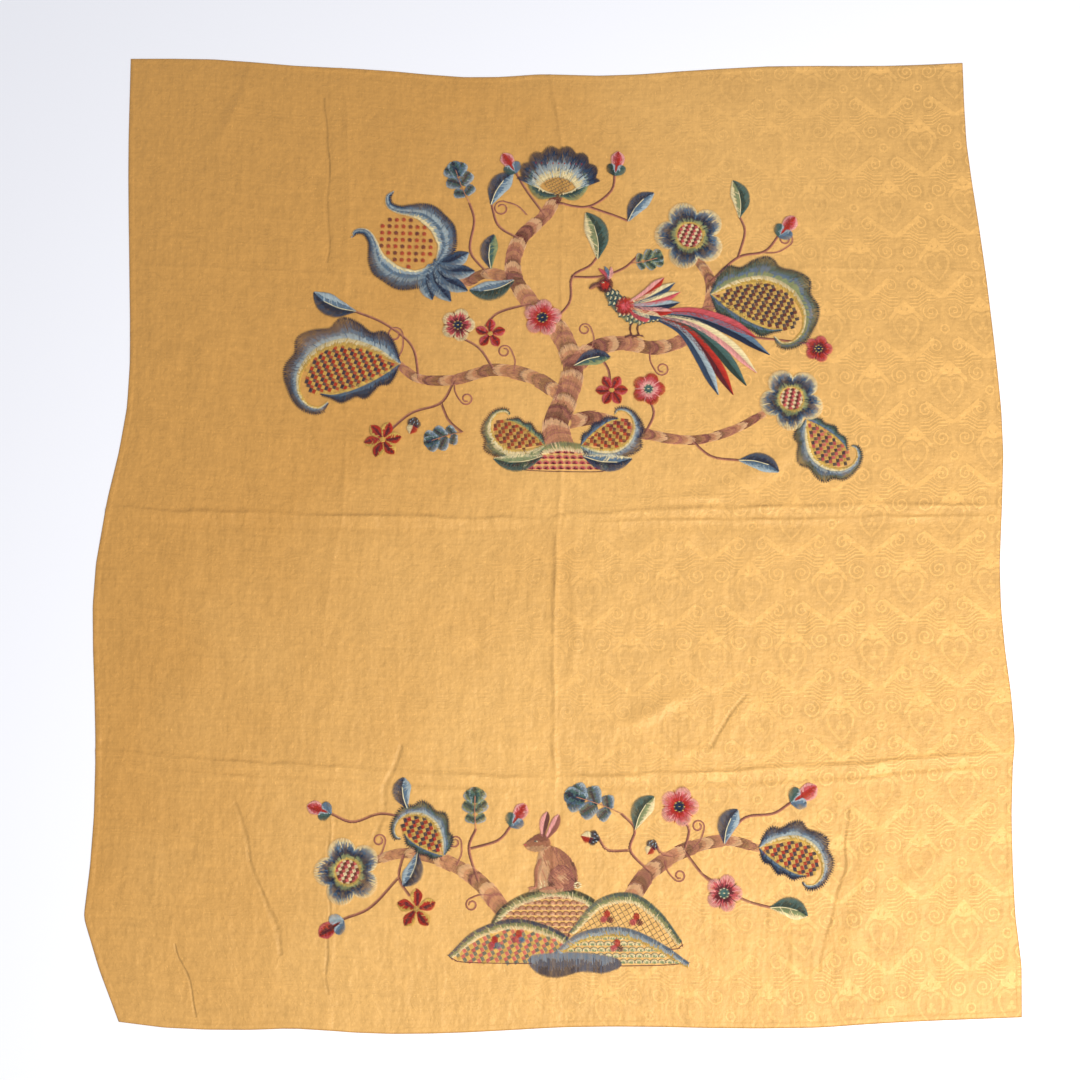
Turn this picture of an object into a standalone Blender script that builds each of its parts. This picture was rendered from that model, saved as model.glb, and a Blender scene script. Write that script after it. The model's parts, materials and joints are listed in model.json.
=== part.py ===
"""Gold silk damask panel that carries crewel embroidery, opened out flat on a table.

One hemmed length of cloth is one closed sheet. It lies flat on z = 0 and lifts only along the pressed
creases of its storage folds, three across and three down. The origin is at the middle of the sheet's box,
on the table. +Y points to the panel's top edge and +Z up, out of its embroidered face.
"""

import bmesh
import bpy

MM = 0.001

HALF_WIDTH = 670 * MM
HALF_LENGTH = 740 * MM
THICKNESS = 1.5 * MM

# How far each hemmed edge wanders outwards from the true rectangle, in mm.
# Columns: place along the edge from the panel's middle, distance outwards.
TOP_EDGE = (
    (-673, 6),
    (-539, 5),
    (-411, -6),
    (-283, -13),
    (-155, -25),
    (-92, -26),
    (-28, -21),
    (100, -23),
    (227, -14),
    (355, -7),
    (546, -6),
    (655, -1),
)
BOTTOM_EDGE = (
    (-614, -11),
    (-535, -2),
    (-422, 0),
    (-365, -2),
    (-253, 5),
    (-140, 4),
    (29, -4),
    (142, -4),
    (255, -2),
    (368, -3),
    (481, -10),
    (661, -17),
)
LEFT_EDGE = (
    (-596, 3),
    (-560, -1),
    (-450, -5),
    (-319, 0),
    (-187, 11),
    (-97, 15),
    (-51, 10),
    (41, -1),
    (134, -18),
    (229, -22),
    (375, -14),
    (575, -2),
    (746, 3),
)
RIGHT_EDGE = (
    (-723, -9),
    (-658, -5),
    (-575, -10),
    (-406, -5),
    (-319, 5),
    (-187, -3),
    (-97, -4),
    (41, 8),
    (134, 14),
    (326, 6),
    (473, -5),
    (600, -16),
    (739, -15),
)

# The lower left corner is cut off at a slant, which starts at the foot of LEFT_EDGE.
SLANT_START = -596 * MM
SLANT_END = -729 * MM
SLANT_INSET = 59 * MM

# Creases of the storage folds, in mm. Columns: place of the crease where it starts (left or bottom),
# in its middle and where it ends (right or top), its height, and its half width.
CREASES_ACROSS = (
    (-351, -384, -351, 4.0, 20),
    (10, 2, 10, 4.5, 18),
    (399, 385, 383, 1.8, 15),
)
CREASES_DOWN = (
    (-295, -313, -331, 2.2, 15),
    (-1, 8, -7, 3.5, 17),
    (372, 364, 347, 1.8, 15),
)
# How high a crease stands along its length, as shares of its height at evenly spaced places.
UNEVEN = (0.55, 1.0, 0.7, 0.9, 0.6, 0.95, 0.65, 1.0, 0.5)

# Grid lines at each crease, as shares of its half width, and evenly spaced lines between two creases.
CREASE_LINES = (-1.0, -0.5, 0.0, 0.5, 1.0)
LINES_BETWEEN = 4


def curve_through(rows, at):
    """Value at a place on the smooth curve through rows of (place, value) in mm, both given back in metres."""
    at = at / MM
    last = len(rows) - 1
    if at <= rows[0][0]:
        return rows[0][1] * MM
    if at >= rows[last][0]:
        return rows[last][1] * MM
    i = next(k for k in range(last) if at <= rows[k + 1][0])
    (x0, y0), (x1, y1) = rows[i], rows[i + 1]
    before, after = rows[max(i - 1, 0)], rows[min(i + 2, last)]
    span = x1 - x0
    t = (at - x0) / span
    slope0 = (y1 - before[1]) / (x1 - before[0]) * span
    slope1 = (after[1] - y0) / (after[0] - x0) * span
    value = (
        (2 * t**3 - 3 * t**2 + 1) * y0
        + (t**3 - 2 * t**2 + t) * slope0
        + (3 * t**2 - 2 * t**3) * y1
        + (t**3 - t**2) * slope1
    )
    return value * MM


def left_edge(y):
    if y < SLANT_START:
        return -HALF_WIDTH - LEFT_EDGE[0][1] * MM + SLANT_INSET * (SLANT_START - y) / (SLANT_START - SLANT_END)
    return -HALF_WIDTH - curve_through(LEFT_EDGE, y)


def right_edge(y):
    return HALF_WIDTH + curve_through(RIGHT_EDGE, y)


def top_edge(x):
    return HALF_LENGTH + curve_through(TOP_EDGE, x)


def bottom_edge(x):
    return -HALF_LENGTH - curve_through(BOTTOM_EDGE, x)


def crease_place(crease, share):
    """Where a crease lies across its run, at a share of the panel from start to end."""
    start, middle, end = crease[:3]
    bend = middle - (start + end) / 2
    return (start + (end - start) * share + bend * 4 * share * (1 - share)) * MM


def crease_lift(crease, share, place):
    """Height that one crease gives a point: a tent over its line, uneven along it."""
    height, half_width = crease[3] * MM, crease[4] * MM
    away = abs(place - crease_place(crease, share)) / half_width
    if away >= 1:
        return 0.0
    step = share * (len(UNEVEN) - 1)
    k = min(int(step), len(UNEVEN) - 2)
    uneven = UNEVEN[k] + (UNEVEN[k + 1] - UNEVEN[k]) * (step - k)
    return height * uneven * (1 - away) ** 1.3


def lift(x, y):
    """Height of the cloth's underside above the table."""
    across = (x + HALF_WIDTH) / (2 * HALF_WIDTH)
    up = (y + HALF_LENGTH) / (2 * HALF_LENGTH)
    lifts = [crease_lift(crease, across, y) for crease in CREASES_ACROSS]
    lifts += [crease_lift(crease, up, x) for crease in CREASES_DOWN]
    return max(lifts)


def line_places(creases, share, low, high):
    """Places of all grid lines across one direction: both edges, each crease's lines, and those between."""
    places = [low]
    for crease in creases:
        middle, half_width = crease_place(crease, share), crease[4] * MM
        lines = [middle + line * half_width for line in CREASE_LINES]
        places += spaced(places[-1], lines[0]) + lines
    return places + spaced(places[-1], high) + [high]


def spaced(low, high):
    return [low + (high - low) * (k + 1) / (LINES_BETWEEN + 1) for k in range(LINES_BETWEEN)]


def grid_point(column, row, columns, rows):
    """The point where a column line and a row line cross, settled from the even grid in a few rounds."""
    x = -HALF_WIDTH + 2 * HALF_WIDTH * column / (columns - 1)
    y = -HALF_LENGTH + 2 * HALF_LENGTH * row / (rows - 1)
    for _ in range(8):
        up = (y + HALF_LENGTH) / (2 * HALF_LENGTH)
        across = (x + HALF_WIDTH) / (2 * HALF_WIDTH)
        x = line_places(CREASES_DOWN, up, left_edge(y), right_edge(y))[column]
        y = line_places(CREASES_ACROSS, across, bottom_edge(x), top_edge(x))[row]
    return x, y


def damask_sheet():
    """The cloth: its creased underside as a grid of faces, extruded straight up by its thickness."""
    columns = 2 + len(CREASES_DOWN) * len(CREASE_LINES) + (len(CREASES_DOWN) + 1) * LINES_BETWEEN
    rows = 2 + len(CREASES_ACROSS) * len(CREASE_LINES) + (len(CREASES_ACROSS) + 1) * LINES_BETWEEN
    cloth = bmesh.new()
    grid = []
    for row in range(rows):
        line = []
        for column in range(columns):
            x, y = grid_point(column, row, columns, rows)
            line.append(cloth.verts.new((x, y, lift(x, y))))
        grid.append(line)
    for low, high in zip(grid, grid[1:]):
        for k in range(columns - 1):
            cloth.faces.new((low[k], high[k], high[k + 1], low[k + 1]))
    raised = bmesh.ops.extrude_face_region(cloth, geom=cloth.faces[:], use_keep_orig=True)
    top = [item for item in raised["geom"] if isinstance(item, bmesh.types.BMVert)]
    bmesh.ops.translate(cloth, verts=top, vec=(0, 0, THICKNESS))
    bmesh.ops.recalc_face_normals(cloth, faces=cloth.faces[:])
    mesh = bpy.data.meshes.new("ground_cloth")
    cloth.to_mesh(mesh)
    cloth.free()
    return mesh


def gold_silk():
    material = bpy.data.materials.new("gold_silk_damask")
    material.use_nodes = True
    shader = material.node_tree.nodes["Principled BSDF"]
    shader.inputs["Base Color"].default_value = (0.66, 0.42, 0.14, 1)
    shader.inputs["Roughness"].default_value = 0.5
    shader.inputs["Metallic"].default_value = 0.0
    return material


def main():
    for item in list(bpy.data.objects):
        bpy.data.objects.remove(item)
    mesh = damask_sheet()
    mesh.materials.append(gold_silk())
    mesh.shade_smooth()
    mesh.set_sharp_from_angle(angle=0.6)
    bpy.context.scene.collection.objects.link(bpy.data.objects.new("ground_cloth", mesh))


main()
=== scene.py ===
"""The looks of a gold silk damask panel with crewel embroidery, laid out flat on a table.

The cloth and every stitch are made on the frame's sheet. Lengths in the tables are in millimetres, in the
frame's own axes: x to the right, y to the panel's top edge, from the middle of the sheet.
"""

import json
import math

import bmesh
import bpy
import numpy as np
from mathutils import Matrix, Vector

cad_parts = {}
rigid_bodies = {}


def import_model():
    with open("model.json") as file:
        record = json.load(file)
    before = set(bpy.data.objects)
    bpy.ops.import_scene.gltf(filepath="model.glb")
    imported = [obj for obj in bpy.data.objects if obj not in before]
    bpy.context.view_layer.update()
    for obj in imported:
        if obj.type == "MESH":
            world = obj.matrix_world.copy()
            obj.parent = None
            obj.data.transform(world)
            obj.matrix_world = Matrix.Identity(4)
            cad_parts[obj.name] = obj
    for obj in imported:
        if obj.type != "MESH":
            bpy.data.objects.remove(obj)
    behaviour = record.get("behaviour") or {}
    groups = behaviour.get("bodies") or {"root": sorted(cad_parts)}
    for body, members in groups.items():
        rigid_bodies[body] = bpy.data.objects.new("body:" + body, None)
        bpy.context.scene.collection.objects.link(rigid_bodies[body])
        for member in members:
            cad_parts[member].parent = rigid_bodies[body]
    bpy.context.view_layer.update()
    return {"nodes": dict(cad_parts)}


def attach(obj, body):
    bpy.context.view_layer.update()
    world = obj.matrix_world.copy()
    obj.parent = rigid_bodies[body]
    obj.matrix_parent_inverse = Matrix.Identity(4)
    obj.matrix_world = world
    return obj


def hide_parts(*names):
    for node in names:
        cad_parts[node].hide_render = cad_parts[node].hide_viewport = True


bl_info = {
    "name": "Crewel embroidery panel",
    "version": (1, 0, 0),
    "blender": (4, 5, 0),
    "location": "3D View > Sidebar > Crewel",
    "description": "Makes a silk damask panel and embroiders it with crewel wool, stitch by stitch",
    "category": "Add Mesh",
}

for left_over in list(bpy.data.objects):
    bpy.data.objects.remove(left_over)
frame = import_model()
SHEET = "ground_cloth"

MM = 0.001

# The cloth's mesh: how many lines of its grid each face of the underside takes up, and its lines down and
# across.
COARSE = 4
COLUMNS = 69 * COARSE + 1
ROWS = 75 * COARSE + 1
# Where the sheet was folded, in mm, and how far and how much closer the grid's lines stand there.
FOLDS_DOWN = (-325, 8, 362)
FOLDS_ACROSS = (386, 2, -382)
FOLD_REACH = 26.0
FOLD_DENSITY = 2.6
# Lines of the grid in the hem, in hem widths from the edge.
HEM_LINES = (0, 0.05, 0.2, 0.5, 0.75, 0.9, 1.0, 1.15, 1.4)
# The turned hem is twice the cloth: rounded at its fold, high to its stitch line, where it's pulled in.
# Columns: hem widths from the edge, height in thicknesses of the cloth.
HEM_PROFILE = ((0, 0.35), (0.05, 0.75), (0.2, 1.35), (0.75, 1.45), (0.9, 1.15), (1.0, 0.95), (1.4, 1.0))
# How many times their height in the table the wrinkles stand up.
WRINKLE_LIFT = 1.4

# The wools, from the darkest to the palest of each dye. Columns: name, colour.
WOOLS = (
    ("navy", "#262d42"),
    ("indigo", "#3b4b61"),
    ("blue", "#62798c"),
    ("pale_blue", "#a3b0b2"),
    ("forest", "#33443c"),
    ("teal", "#4a665f"),
    ("sage", "#8d9568"),
    ("cream", "#e6d4a2"),
    ("straw", "#d2ad56"),
    ("maroon", "#66262a"),
    ("red", "#b32f22"),
    ("rose", "#c8565a"),
    ("pink", "#e2a096"),
    ("umber", "#6e4138"),
    ("rosewood", "#9a5f50"),
    ("tan", "#b97d5f"),
    ("fawn", "#d3a67c"),
)
SHADE = {name: k for k, (name, _) in enumerate(WOOLS)}


# ---------------------------------------------------------------- colours and nodes


def linear(hex_colour):
    """An sRGB hex colour as linear red, green, blue and alpha."""
    parts = [int(hex_colour[k : k + 2], 16) / 255 for k in (1, 3, 5)]
    return tuple(c / 12.92 if c <= 0.04045 else ((c + 0.055) / 1.055) ** 2.4 for c in parts) + (1.0,)


def feed(tree, node, inputs):
    """Sets or links a node's inputs, given by place or name: values, sockets, nodes or terms."""
    for key, value in inputs.items() if isinstance(inputs, dict) else enumerate(inputs):
        if isinstance(value, Term):
            value = value.socket
        elif isinstance(value, bpy.types.Node):
            value = value.outputs[0]
        if isinstance(value, bpy.types.NodeSocket):
            tree.links.new(value, node.inputs[key])
        elif value is not None:
            node.inputs[key].default_value = value


def add(tree, kind, inputs=(), **settings):
    """A new node with its settings and its inputs."""
    node = tree.nodes.new(kind)
    for name, value in settings.items():
        setattr(node, name, value)
    feed(tree, node, inputs)
    return node


def reckon(tree, operation, *values):
    """The result of a Math node."""
    return Term(tree, add(tree, "ShaderNodeMath", values, operation=operation).outputs[0])


class Term:
    """A number in a node tree, which can be reckoned with. A product waits, so that a sum can take it in."""

    def __init__(self, tree, made=None, product=None):
        self.tree, self.made, self.product = tree, made, product

    @property
    def socket(self):
        if self.made is None:
            self.made = reckon(self.tree, "MULTIPLY", *self.product).made
        return self.made

    def math(self, operation, *others):
        return reckon(self.tree, operation, self, *others)

    def most(self, *others):
        for other in others:
            self = self.math("MAXIMUM", other)
        return self

    def between(self, low, high):
        return self.most(low).math("MINIMUM", high)

    def __mul__(self, other):
        return Term(self.tree, product=(self, other))

    def __add__(self, other):
        if self.product:
            return reckon(self.tree, "MULTIPLY_ADD", *self.product, other)
        return other + self if isinstance(other, Term) and other.product else self.math("ADD", other)

    def __sub__(self, other):
        return self.math("SUBTRACT", other) if isinstance(other, Term) else self + -other

    def __rsub__(self, other):
        return reckon(self.tree, "SUBTRACT", other, self)

    def __truediv__(self, other):
        return self.math("DIVIDE", other)

    def __lt__(self, other):
        return self.math("LESS_THAN", other)

    def __gt__(self, other):
        return self.math("GREATER_THAN", other)

    def __abs__(self):
        return self.math("ABSOLUTE")


def terms(node):
    """A node's results as terms."""
    return [Term(node.id_data, socket) for socket in node.outputs]


def distance(x, y):
    return (x * x + y * y).math("SQRT")


def new_material(name):
    """An empty material: its tree and its shader, joined to the output."""
    material = bpy.data.materials.new(name)
    material.use_nodes = True
    tree = material.node_tree
    tree.nodes.clear()
    shader = add(tree, "ShaderNodeBsdfPrincipled")
    add(tree, "ShaderNodeOutputMaterial", {"Surface": shader})
    return material, tree, shader


# ---------------------------------------------------------------- the lying cloth


def noise(x, y, cell, seed):
    """Smooth noise from -1 to 1 at places in mm, with features about as large as cell."""
    table = np.random.default_rng(seed).uniform(-1, 1, (64, 64))
    column, row = np.floor(x / cell).astype(int), np.floor(y / cell).astype(int)
    right, up = x / cell - column, y / cell - row
    right, up = right * right * (3 - 2 * right), up * up * (3 - 2 * up)
    corner = [[table[(column + i) % 64, (row + j) % 64] for j in (0, 1)] for i in (0, 1)]
    low = corner[0][0] * (1 - right) + corner[1][0] * right
    high = corner[0][1] * (1 - right) + corner[1][1] * right
    return low * (1 - up) + high * up


# Pressed folds and wrinkles. Columns: start x, y, middle x, y, end x, y, height, half width to the left of
# the way from start to end, half width to its right. A negative height is a trough.
FOLDS = (
    (-660, 402, -322, 383, 0, 372, 1.2, 4.5, 11.9),
    (0, 372, 340, 392, 690, 386, 1.5, 6, 7.6),
    (-675, 12, -335, -1, -8, -4, 3.4, 6, 18.7),
    (-675, -8, -400, -17, -60, -22, -1.2, 4, 8.5),
    (14, 0, 342, 14, 684, 17, 3.6, 5, 17),
    (60, -10, 300, -6, 684, 2, 2.2, 4, 10.2),
    (-668, -349, -330, -374, -10, -390, 3, 5, 17),
    (-650, -369, -368, -392, -20, -410, 1.9, 4, 10.2),
    (10, -388, 359, -374, 682, -349, 2.8, 5, 15.3),
    (30, -408, 330, -398, 660, -372, 1.6, 4, 11),
    (-4, 716, 17, 573, 14, 423, 2.4, 6.5, 7.6),
    (14, 423, 15, 250, 11, 120, 2.2, 6.5, 7.6),
    (11, 120, 13, 60, 8, -6, 3.2, 7, 6.8),
    (8, -6, 2, -187, 4, -392, 3.4, 7.5, 7.6),
    (4, -392, -1, -562, -8, -742, 2, 6.5, 7.6),
    (-335, 727, -320, 556, -321, 399, 1.5, 6, 10.2),
    (-321, 399, -315, 181, -316, 2, 1.3, 6, 8.5),
    (-316, 2, -340, -187, -338, -363, 1.4, 5.5, 9.3),
    (-332, -390, -315, -562, -321, -743, 1.8, 5, 11),
    (345, 737, 367, 540, 374, 325, 1.5, 5, 10.2),
    (374, 325, 376, 150, 356, -6, 1, 5, 10.2),
    (336, -406, 339, -562, 348, -740, 0.8, 6, 10.2),
)
WRINKLES = (
    (-482, 727, -499, 658, -540, 590, 2.2, 12, 20),
    (-213, 543, -223, 498, -238, 448, 1.6, 8, 12),
    (216, -261, 149, -293, 60, -322, 3.0, 14, 18),
    (282, -268, 266, -305, 236, -345, 2.0, 16, 12),
    (-655, -352, -543, -392, -400, -440, -1.6, 12, 18),
    (-448, -392, -469, -435, -493, -484, -1.3, 7, 9),
    (-224, -351, -240, -406, -276, -499, -1.5, 9, 9),
    (488, -405, 452, -534, 400, -690, 2.6, 34, 20),
    (430, -430, 405, -540, 372, -660, -1.2, 18, 18),
    (575, -474, 542, -513, 480, -552, 1.6, 16, 14),
    (670, -650, 562, -679, 430, -722, 1.7, 14, 16),
    (-545, -620, -530, -672, -510, -722, -1.2, 4, 5),
    (-410, -738, -358, -724, -305, -737, 2.2, 9, 12),
    (-361, 675, -358, 607, -349, 540, -1.2, 7, 8),
    (-378, 556, -367, 498, -371, 456, -1.2, 6, 7),
    (-352, 520, -347, 440, -352, 380, -1.2, 5, 6),
    (406, 134, 313, 71, 205, 20, 1.6, 20, 16),
    (55, -67, 220, -36, 400, -49, 1.0, 24, 24),
    (588, 118, 616, 71, 680, 56, 1.4, 20, 20),
    (126, -350, 214, -352, 315, -356, 1.0, 12, 12),
    (-136, -340, -78, -338, -20, -342, 1.2, 10, 12),
    (-470, -430, -415, -520, -385, -640, -1.3, 7, 9),
    (-322, -440, -312, -560, -318, -690, -1.2, 6, 6),
    (-440, 60, -390, 180, -400, 300, 0.9, 22, 22),
    (-600, 150, -560, 60, -470, -20, 0.9, 26, 26),
    (-560, -60, -520, -160, -540, -280, 0.8, 24, 24),
    (120, 600, 135, 520, 118, 440, 1.1, 12, 12),
    (-120, 690, -112, 640, -125, 585, 1.2, 10, 12),
    (205, 700, 190, 640, 205, 560, 1.0, 14, 14),
    (500, 300, 590, 240, 690, 225, 1.1, 26, 22),
    (-680, 260, -600, 245, -500, 285, 1.0, 20, 20),
    (560, -90, 610, -140, 690, -150, 1.0, 24, 22),
    (20, -60, 34, -150, 26, -250, 1.2, 12, 10),
    (-40, 30, -100, 38, -180, 30, 1.3, 10, 12),
    (-60, -430, -48, -480, -60, -540, 1.5, 9, 10),
    (150, 26, 215, 30, 290, 25, 1.6, 6, 8),
)


def crease(x, y, row, sharp):
    """Height in mm that one fold or wrinkle gives each place. It runs smoothly through its three points."""
    x0, y0, x1, y1, x2, y2, height, left_width, right_width = row
    t = np.linspace(0, 1, 25)
    ends, middle = (1 - t) * (1 - 2 * t), 4 * t * (1 - t)
    path_x = x0 * ends + x1 * middle + x2 * t * (2 * t - 1)
    path_y = y0 * ends + y1 * middle + y2 * t * (2 * t - 1)
    wander = 0.12 * (left_width + right_width)
    reach = max(left_width, right_width) * 1.5
    lift = np.zeros(x.shape)
    near = (x > path_x.min() - reach) & (x < path_x.max() + reach)
    near &= (y > path_y.min() - reach) & (y < path_y.max() + reach)
    px, py = x[near], y[near]
    best, side, share = np.full(px.shape, 1e9), np.zeros(px.shape), np.zeros(px.shape)
    for k in range(len(t) - 1):
        run_x, run_y = path_x[k + 1] - path_x[k], path_y[k + 1] - path_y[k]
        long = math.hypot(run_x, run_y)
        along = ((px - path_x[k]) * run_x + (py - path_y[k]) * run_y) / long**2
        along = np.clip(along, 0, 1)
        off_x, off_y = px - path_x[k] - along * run_x, py - path_y[k] - along * run_y
        away = np.hypot(off_x, off_y)
        closer = away < best
        best = np.where(closer, away, best)
        side = np.where(closer, (run_x * off_y - run_y * off_x) / long, side)
        share = np.where(closer, t[k] + along / (len(t) - 1), share)
    side = side + wander * noise(px, py, 38, 5)
    uneven = 0.72 + 0.42 * noise(px, py, 46, 6) + 0.2 * noise(px, py, 17, 7)
    width = np.where(side > 0, left_width, right_width) * (1 + 0.3 * noise(px, py, 60, 8))
    away = np.maximum(np.abs(side), best - wander) / width
    ends = np.clip(np.minimum(share, 1 - share) * 8 + 0.25, 0, 1) if sharp else np.sin(math.pi * share) ** 0.7
    shape = np.maximum(0, 1 - away) ** 1.5 if sharp else np.maximum(0, 1 - away**2) ** 2
    lift[near] = height * ends * np.clip(uneven, 0.15, 1.2) * shape
    return lift


def rim_of(node):
    """The outline of the frame's sheet as points in order, in mm."""
    shape = bmesh.new()
    shape.from_mesh(node.data)
    bmesh.ops.remove_doubles(shape, verts=shape.verts[:], dist=1e-5)
    shape.normal_update()
    upper = {face for face in shape.faces if face.normal.z > 0.5}
    following = {}
    for face in upper:
        for loop in face.loops:
            if loop.link_loop_radial_next.face not in upper:
                following[loop.vert] = loop.link_loop_next.vert
    start = place = next(iter(following))
    rim = []
    while not rim or place is not start:
        rim.append((place.co.x / MM, place.co.y / MM))
        place = following[place]
    shape.free()
    return np.array(rim)


class LyingCloth:
    """Where the cloth lies, in mm: its four edges, read from the frame's sheet, and its height."""

    STEP = 2.0
    SOFTEN = 15

    def __init__(self, rim):
        corners = [int(np.argmax(rim @ np.array(way))) for way in ((-1, -1), (1, -1), (1, 1), (-1, 1))]
        sides = []
        for start, end in zip(corners, corners[1:] + corners[:1]):
            count = (end - start) % len(rim)
            sides.append(rim[[(start + k) % len(rim) for k in range(count + 1)]])
        self.bottom, self.top = self.smooth(sides[0], 0), self.smooth(sides[2], 0)
        self.right, self.left = self.smooth(sides[1], 1), self.smooth(sides[3], 1)
        self.low, self.high = rim.min(axis=0), rim.max(axis=0)
        self.size = self.high - self.low

    def smooth(self, side, key):
        """One edge as (places, values), evenly spaced and with the frame's facets smoothed out."""
        side = side[np.argsort(side[:, key])]
        places = np.arange(side[0, key], side[-1, key], self.STEP)
        values = np.interp(places, side[:, key], side[:, 1 - key])
        window = np.hanning(self.SOFTEN + 2)[1:-1]
        padded = np.pad(values, self.SOFTEN // 2, mode="reflect", reflect_type="odd")
        return places, np.convolve(padded, window / window.sum(), mode="valid")

    def spread(self, share_x, inset_x, share_y, inset_y):
        """Places of the cloth's grid: each line is a share of the way across, moved inwards by its inset."""
        x = self.low[0] + share_x * self.size[0] + 0 * share_y
        y = self.low[1] + share_y * self.size[1] + 0 * share_x
        for _ in range(12):
            left, right = np.interp(y, *self.left), np.interp(y, *self.right)
            x = left + share_x * (right - left) + inset_x
            bottom, top = np.interp(x, *self.bottom), np.interp(x, *self.top)
            y = bottom + share_y * (top - bottom) + inset_y
        return x, y

    def rise(self, x, y):
        """Height in mm of the cloth's underside over the table."""
        left, right = np.interp(y, *self.left), np.interp(y, *self.right)
        bottom, top = np.interp(x, *self.bottom), np.interp(x, *self.top)
        inside = np.minimum(np.minimum(x - left, right - x), np.minimum(y - bottom, top - y))
        total = 0.75 + 0.55 * noise(x, y, 120, 1) + 0.3 * noise(x, y, 47, 2) + 0.1 * noise(x, y, 21, 3)
        total = total * np.clip(inside / 30, 0, 1)
        for row in FOLDS:
            total = total + crease(x, y, row, True)
        for row in WRINKLES:
            total = total + WRINKLE_LIFT * crease(x, y, row, False) * np.clip(inside / 12 + 0.3, 0, 1)
        return np.maximum(total, 0.0)


lying = LyingCloth(rim_of(frame["nodes"][SHEET]))


def grid_lines(length, hem_lines, count, folds):
    """Shares and insets of the lines across one direction: close together in the hems and by the folds."""
    inner = hem_lines[-1]
    fine = np.linspace(0, 1, 2001)
    away = (fine[:, None] * length - length / 2 - np.array(folds)[None, :]) / FOLD_REACH
    dense = np.cumsum(1 + FOLD_DENSITY * np.exp(-(away**2)).sum(axis=1))
    dense = (dense - dense[0]) / (dense[-1] - dense[0])
    even = np.interp(np.linspace(0, 1, count - 2 * len(hem_lines) + 2)[1:-1], dense, fine)
    near = np.array(hem_lines)
    share = np.concatenate([np.zeros(len(near)), even, np.ones(len(near))])
    inset = np.concatenate([near, inner * (1 - 2 * even), -near[::-1]])
    return share, inset, share * length - length / 2 + inset


def cloth_mesh(thickness, hem):
    """The cloth as a closed shell: a fine upper face with its hem, over a coarser underside."""
    hem_lines = [share * hem for share in HEM_LINES]
    share_x, inset_x, flat_x = grid_lines(lying.size[0], hem_lines, COLUMNS, FOLDS_DOWN)
    share_y, inset_y, flat_y = grid_lines(lying.size[1], hem_lines, ROWS, FOLDS_ACROSS)
    x, y = lying.spread(share_x[None, :], inset_x[None, :], share_y[:, None], inset_y[:, None])
    edge_x = np.minimum(flat_x - flat_x[0], flat_x[-1] - flat_x)[None, :]
    edge_y = np.minimum(flat_y - flat_y[0], flat_y[-1] - flat_y)[:, None]
    edge = np.minimum(edge_x, edge_y)
    under = lying.rise(x, y)
    inwards, doubled = np.array(HEM_PROFILE).T
    doubled = np.interp(edge, inwards * hem, doubled)
    pucker = 0.5 * noise(x, y, 13, 11) * np.exp(-((edge / hem - 0.8) ** 2) / 0.3)
    z = under + thickness * doubled + np.maximum(pucker, -0.2) * (edge > 0)
    mesh = bmesh.new()
    uv = mesh.loops.layers.uv.new("cloth")
    flat = {}

    def corner(row, column, height):
        vert = mesh.verts.new((x[row, column] * MM, y[row, column] * MM, height * MM))
        flat[vert] = (flat_x[column] * MM, flat_y[row] * MM)
        return vert

    fine = [[corner(row, column, z[row, column]) for column in range(COLUMNS)] for row in range(ROWS)]
    coarse = {}
    for row in range(0, ROWS, COARSE):
        for column in range(0, COLUMNS, COARSE):
            around = tuple(slice(max(k - COARSE, 0), k + COARSE + 1) for k in (row, column))
            coarse[row, column] = corner(row, column, max(0.0, float(under[around].min()) * 0.8))
    for low, high in zip(fine, fine[1:]):
        for k in range(COLUMNS - 1):
            mesh.faces.new((low[k], low[k + 1], high[k + 1], high[k]))
    for row in range(0, ROWS - 1, COARSE):
        for column in range(0, COLUMNS - 1, COARSE):
            far_row, far_column = row + COARSE, column + COARSE
            corners = ((row, column), (far_row, column), (far_row, far_column), (row, far_column))
            mesh.faces.new([coarse[c] for c in corners])
    # the sides, from the underside's coarse edge up to the fine one
    last_row, last_column = ROWS - 1, COLUMNS - 1
    for k in range(0, last_column, COARSE):
        steps = range(k, k + COARSE + 1)
        mesh.faces.new([coarse[0, k], coarse[0, k + COARSE]] + [fine[0][c] for c in reversed(steps)])
        mesh.faces.new([coarse[last_row, k + COARSE], coarse[last_row, k]] + [fine[last_row][c] for c in steps])
    for k in range(0, last_row, COARSE):
        steps = range(k, k + COARSE + 1)
        mesh.faces.new([coarse[k + COARSE, 0], coarse[k, 0]] + [fine[r][0] for r in steps])
        ends = [coarse[k, last_column], coarse[k + COARSE, last_column]]
        mesh.faces.new(ends + [fine[r][last_column] for r in reversed(steps)])
    for face in mesh.faces:
        face.smooth = True
        for loop in face.loops:
            loop[uv].uv = flat[loop.vert]
    made = bpy.data.meshes.new("damask_cloth")
    mesh.to_mesh(made)
    mesh.free()
    return made


# ---------------------------------------------------------------- the silk damask

# A loom raises threads in steps, which gives slanting outlines their stairs. Their size, in mm.
DAMASK_STAIR = 1.2
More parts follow.
